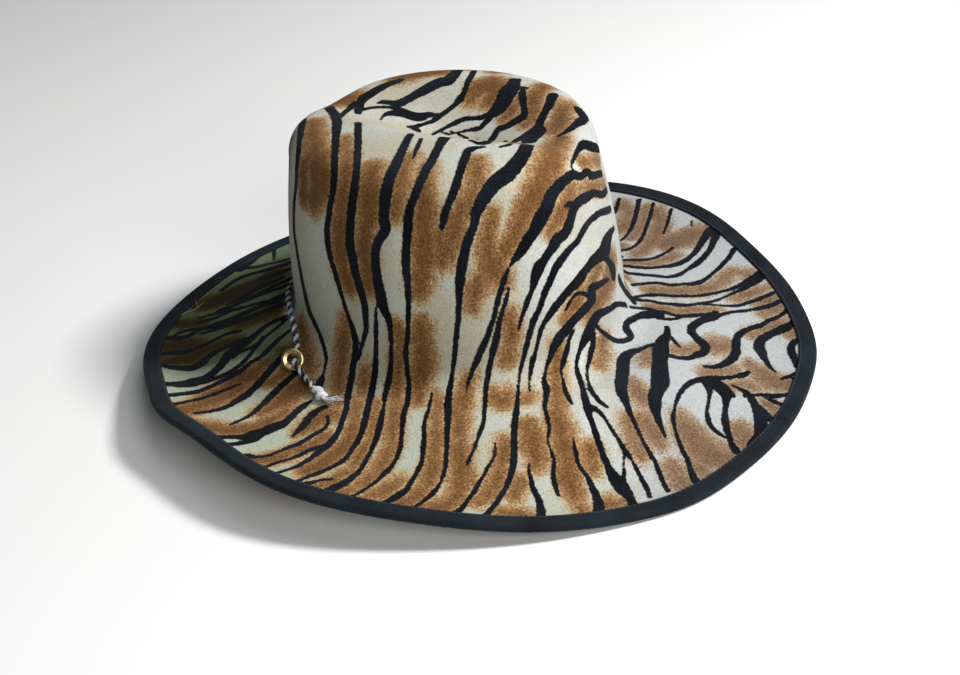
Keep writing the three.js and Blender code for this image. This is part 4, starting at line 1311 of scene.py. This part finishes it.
def eased_chart(points):
    """Catmull-Rom line through charted points, sampled every few pixels."""
    p = np.array(points, float)
    p = np.vstack([2 * p[0] - p[1], p, 2 * p[-1] - p[-2]])
    line = []
    for i in range(1, len(p) - 2):
        a, b, c, d = p[i - 1:i + 3]
        count = max(1, round(float(np.hypot(*(c - b)[:2])) / CHART_STEP))
        for t in np.linspace(0, 1, count, endpoint=False):
            line.append(0.5 * (2 * b + (c - a) * t + (2 * a - 5 * b + 4 * c - d) * t * t
                               + (3 * b - a - 3 * c + d) * t ** 3))
    line.append(p[-2])
    return np.array(line)


def cast_surface():
    angles = np.arange(CAST_STATIONS) * 360 / CAST_STATIONS
    places = profile_places(CAST_ROWS, TOP)
    angle, place = np.meshgrid(angles, places)
    points = skin_point(angle, place).reshape(-1, 3)
    quads = ring_faces(len(places), CAST_STATIONS)
    return BVHTree.FromPolygons([tuple(p) for p in points.tolist()], [tuple(q) for q in quads.tolist()])


def cast_chart(camera, surface, points):
    """Runs of (point, half width) where a charted line lies on the skin."""
    turn = camera.matrix_world.to_3x3()
    right, up = turn.col[0], turn.col[1]
    line = eased_chart(points)
    ways = np.gradient(line[:, :2], axis=0)
    ways /= np.maximum(np.linalg.norm(ways, axis=1, keepdims=True), 1e-9)
    runs = [[]]
    for (x, y, width), way in zip(line, ways):
        origin, direction = pixel_ray(camera, x, y)
        point, normal, _, depth = surface.ray_cast(origin, direction)
        if point is None:
            runs.append([])
            continue
        facing = -max(GRAZING, abs(direction.dot(normal)))
        normal = normal if direction.dot(normal) < 0 else -normal
        ahead = right * way[0] - up * way[1]
        across = -right * way[1] - up * way[0]
        ahead = (ahead - direction * (ahead.dot(normal) / facing)).normalized()
        across = across - direction * (across.dot(normal) / facing)
        across = across - ahead * across.dot(ahead)
        spread = min(across.length, GREATEST_SPREAD)
        half = max(LEAST_HALF_WIDTH, 0.5 * width * depth / FOCAL_PIXELS * spread)
        if runs[-1] and (point - Vector(runs[-1][-1][:3])).length > JUMP:
            runs.append([])
        runs[-1].append((*point, half))
    return [np.array(run) for run in runs if len(run) > 1]


def hidden_from(camera, surface, point):
    start = camera.matrix_world.translation
    way = Vector(point) - start
    hit = surface.ray_cast(start, way.normalized())
    return hit[0] is not None and hit[3] < way.length - SIGHT_MARGIN


def skin_run(angles, places, halves):
    return np.column_stack([skin_point(angles, places), halves])


def hidden_runs(camera, surface, run):
    """Parts of a run on the skin that the camera can't see."""
    runs = [[]]
    for row in run:
        if hidden_from(camera, surface, row[:3]):
            runs[-1].append(tuple(row))
        elif runs[-1]:
            runs.append([])
    return [np.array(part) for part in runs if len(part) > 2]


# Seeded stripes: where they start and end on the profile, how they wander, how wide they get
SEEDED_ROWS = [
    {"spacing": 7.5, "start": (1.1, 1.7), "end": (2.8, 4.1), "drift": 8, "half": (0.0016, 0.0034)},
    {"spacing": 10.0, "start": (2.3, 3.3), "end": (4.5, 5.0), "drift": 10, "half": (0.0014, 0.0028)},
    {"spacing": 6.0, "start": (4.02, 4.4), "end": (4.9, 5.0), "drift": 7, "half": (0.0014, 0.0030)},
]
SEEDED_STEPS = 40
STRIPE_SEED = 7
WIGGLE = 1.0


def wave(rng, share, fewest, most):
    """Sine along a stripe, with a seeded number of waves and a seeded start."""
    return np.sin(2 * math.pi * (share * rng.uniform(fewest, most) + rng.uniform(0, 1)))


def seeded_stripes():
    rng = np.random.default_rng(STRIPE_SEED)
    runs = []
    share = np.linspace(0, 1, SEEDED_STEPS)
    for row in SEEDED_ROWS:
        for number in range(round(360 / row["spacing"])):
            start = rng.uniform(*row["start"])
            end = rng.uniform(*row["end"])
            first = number * row["spacing"] + rng.uniform(-0.35, 0.35) * row["spacing"]
            drift = rng.uniform(-row["drift"], row["drift"])
            angles = first + drift * share + WIGGLE * wave(rng, share, 0.5, 1.2)
            swell = 0.35 + 0.65 * np.sin(math.pi * np.clip(share, 0.02, 0.98)) ** 0.7
            beat = 1 + 0.3 * wave(rng, share, 1, 3)
            halves = rng.uniform(*row["half"]) * swell * beat
            runs.append(skin_run(angles, start + (end - start) * share, halves))
    return runs


# Stripes of the dent's hidden middle cross it side by side, with these sizes in metres
DENT_STRIPE_SPACING = 0.0125
DENT_STRIPE_SPAN = (-0.034, 0.044)
DENT_STRIPE_SLOPE = 0.30
DENT_STRIPE_HALF = (0.0014, 0.0028)
DENT_STRIPES_EACH_WAY = 5
DENT_STRIPE_SHORTER = 0.012
DENT_STRIPE_BEND = 0.0022
DENT_SEED = 4


def top_run(x, y, halves):
    """Run on the crown's top through the given places seen from above."""
    across = (x - RIM_SIDE) / (RIM_WIDTH / 2)
    back = (y - RIM_BACK) / (RIM_LENGTH / 2)
    return skin_run(np.degrees(np.arctan2(back, across)), np.hypot(across, back) / RIM_START, halves)


def dent_stripes():
    rng = np.random.default_rng(DENT_SEED)
    share = np.linspace(0, 1, SEEDED_STEPS)
    runs = []
    for number in range(-DENT_STRIPES_EACH_WAY, DENT_STRIPES_EACH_WAY + 1):
        start = DENT_STRIPE_SPAN[0] + rng.uniform(0, DENT_STRIPE_SHORTER)
        end = DENT_STRIPE_SPAN[1] - rng.uniform(0, DENT_STRIPE_SHORTER)
        x = start + (end - start) * share
        bend = DENT_STRIPE_BEND * wave(rng, share, 0.6, 1.2)
        y = RIM_BACK + number * DENT_STRIPE_SPACING + DENT_STRIPE_SLOPE * x + bend
        halves = rng.uniform(*DENT_STRIPE_HALF) * (0.3 + 0.7 * np.sin(math.pi * share) ** 0.7)
        runs.append(top_run(x, y, halves))
    return runs


# Seeded brown patches, as short wide stripes all round the hat
SEEDED_PATCHES = 170
PATCH_DRIFT = 5
PATCH_STARTS = (0.3, 4.5)
PATCH_SPANS = (0.4, 0.9)
PATCH_END = 4.98
PATCH_HALF = (0.002, 0.006)
BROWN_SEED = 11


def seeded_brown():
    rng = np.random.default_rng(BROWN_SEED)
    share = np.linspace(0, 1, SEEDED_STEPS // 2)
    runs = []
    for number in range(SEEDED_PATCHES):
        angle = number * 360 / SEEDED_PATCHES + rng.uniform(-2, 2)
        start = rng.uniform(*PATCH_STARTS)
        end = min(PATCH_END, start + rng.uniform(*PATCH_SPANS))
        angles = angle + rng.uniform(-PATCH_DRIFT, PATCH_DRIFT) * share
        halves = rng.uniform(*PATCH_HALF) * np.sin(math.pi * np.clip(share, 0.05, 0.95)) ** 0.5
        runs.append(skin_run(angles, start + (end - start) * share, halves))
    return runs


def distance_to_runs(points, runs):
    """Distance from each point to the nearest stripe's border, less than 0 inside it."""
    nearest = np.full(len(points), PRINT_REACH)
    for run in runs:
        for first in range(0, len(run) - 1, 6):
            part = run[first:first + 7]
            reach = PRINT_REACH + part[:, 3].max()
            low = part[:, :3].min(axis=0) - reach
            high = part[:, :3].max(axis=0) + reach
            near = np.nonzero(((points > low) & (points < high)).all(axis=1))[0]
            if not len(near):
                continue
            start, end = part[:-1], part[1:]
            way = end[:, :3] - start[:, :3]
            from_start = points[near][:, None] - start[None, :, :3]
            along = (from_start * way).sum(axis=2) / np.maximum((way * way).sum(axis=1), 1e-12)
            along = np.clip(along, 0, 1)
            gap = np.linalg.norm(from_start - along[..., None] * way, axis=2)
            half = start[:, 3] + (end[:, 3] - start[:, 3]) * along
            nearest[near] = np.minimum(nearest[near], (gap - half).min(axis=1))
    return nearest


def set_attribute(piece, name, values):
    attribute = piece.data.attributes.new(name, "FLOAT", "POINT")
    attribute.data.foreach_set("value", np.asarray(values, np.float32))


def mesh_points(piece):
    points = np.empty(len(piece.data.vertices) * 3, np.float32)
    piece.data.vertices.foreach_get("co", points)
    return points.reshape(-1, 3).astype(float)


# Lays the print and the painted shadow on the skin pieces as distance attributes
def lay_print_and_shadow(camera, pieces, under):
    surface = cast_surface()
    charts = CROWN_STRIPES + TOP_STRIPES + LEFT_BRIM_STRIPES + FRONT_BRIM_STRIPES + RIGHT_BRIM_STRIPES
    stripes = [run for chart in charts for run in cast_chart(camera, surface, chart)]
    brown = [run for chart in CROWN_BROWN + BRIM_BROWN for run in cast_chart(camera, surface, chart)]
    # Painted shadow: where the crown's shadow falls, charted like the print
    flat = [run for chart in PAINTED_SHADE_CHART for run in cast_chart(camera, surface, chart)]
    more_stripes = seeded_stripes() + dent_stripes()
    more_brown = seeded_brown()
    stripes += [part for run in more_stripes for part in hidden_runs(camera, surface, run)]
    brown += [part for run in more_brown for part in hidden_runs(camera, surface, run)]
    for piece in pieces:
        points = mesh_points(piece)
        set_attribute(piece, "stripe", distance_to_runs(points, stripes) / MM)
        set_attribute(piece, "brown", distance_to_runs(points, brown) / MM)
        # The flat attribute holds the distance to the painted shadow's border, less than 0 inside it
        set_attribute(piece, "flat", distance_to_runs(points, flat) / MM)
    points = mesh_points(under)
    set_attribute(under, "stripe", distance_to_runs(points, more_stripes) / MM)
    set_attribute(under, "brown", distance_to_runs(points, more_brown) / MM)
    # No painted shadow under the hat
    set_attribute(under, "flat", np.full(len(points), PRINT_REACH / MM))


# Pale thread that hangs off the binding at the far left, in the photograph's pixels
THREAD_CHART = [(180, 317, 1), (187, 313, 1), (193, 312, 1), (198, 309, 1)]
THREAD_RADIUS = 0.00022
THREAD_RAISE = 0.0009
THREAD_FIBRES = 9
THREAD_FIBRE_LENGTH = 0.0035
THREAD_SEED = 9


def binding_thread(camera, material):
    rng = np.random.default_rng(THREAD_SEED)
    surface = cast_surface()
    line = max(cast_chart(camera, surface, THREAD_CHART), key=len)[:, :3] + (0, 0, THREAD_RAISE)
    parts = [(*tube(line, np.full(len(line), THREAD_RADIUS), 6), 0)]
    for _ in range(THREAD_FIBRES):
        t = np.linspace(0, 1, 6)
        way = (line[-1] - line[-2]) / np.linalg.norm(line[-1] - line[-2]) + rng.normal(0, 0.7, 3)
        way[2] = abs(way[2]) * 0.6
        sag = rng.normal(0, FIBRE_SAG, 3)
        fibre = line[-1] + way * (THREAD_FIBRE_LENGTH * t)[:, None] + sag * (t * t)[:, None]
        parts.append((*tube(fibre, FIBRE_RADIUS * (1.3 - 0.8 * t), 4), 0))
    piece = link("binding_thread", join_parts("binding_thread", parts))
    return dress(piece, "brim_binding", "binding_tape", material)


# Making the scene

bpy.context.scene.view_settings.view_transform = "Standard"
camera = make_camera()
dark_yarn = yarn_material("dark_yarn", *YARN_COLORS["dark"])
light_yarn = yarn_material("light_yarn", *YARN_COLORS["light"])
white_yarn = yarn_material("white_yarn", *YARN_COLORS["white"])
plush = plush_material()

cord, cord_path, cord_length = twisted_cord(dark_yarn, light_yarn)
knot = knot_piece(white_yarn, dark_yarn)
ring = ring_piece(brass_material())

top = skin_piece("top_plush", CROWN_STATIONS, TOP_ROWS, TOP, 0)
wall = skin_piece("wall_plush", CROWN_STATIONS, WALL_ROWS, SIDE, 0)
brim = skin_piece("brim_plush", BRIM_STATIONS, BRIM_ROWS, BRIM, 0)
under = skin_piece("under_plush", UNDER_STATIONS, UNDER_ROWS, TOP, -WALL, flip=True)
lay_print_and_shadow(camera, (top, wall, brim), under)
for piece in (top, wall, brim, under):
    dress(piece, "crown_and_brim", "printed_plush", plush)
brim_binding(tape_material())
binding_thread(camera, yarn_material("pale_thread", *YARN_COLORS["thread"]))

floor_mesh = bpy.data.meshes.new("floor")
corners = [(FLOOR_HALF * x, FLOOR_HALF * y, 0) for x, y in ((-1, -1), (1, -1), (1, 1), (-1, 1))]
floor_mesh.from_pydata(corners, [], [(0, 1, 2, 3)])
floor = link("floor", floor_mesh)
floor.data.materials.append(floor_material())

world = bpy.data.worlds.new("world")
world.use_nodes = True
background = world.node_tree.nodes["Background"]
background.inputs["Color"].default_value = (*AMBIENT_COLOR, 1)
background.inputs["Strength"].default_value = AMBIENT
bpy.context.scene.world = world
for row in LIGHTS:
    light_data = bpy.data.lights.new(row["name"], "AREA")
    light_data.energy = row["watts"]
    light_data.size = row["size"]
    light_data.color = row["color"]
    light = bpy.data.objects.new(row["name"], light_data)
    light.location = row["place"]
    light.rotation_euler = (LIGHT_AIM - light.location).to_track_quat("-Z", "Y").to_euler()
    bpy.context.scene.collection.objects.link(light)
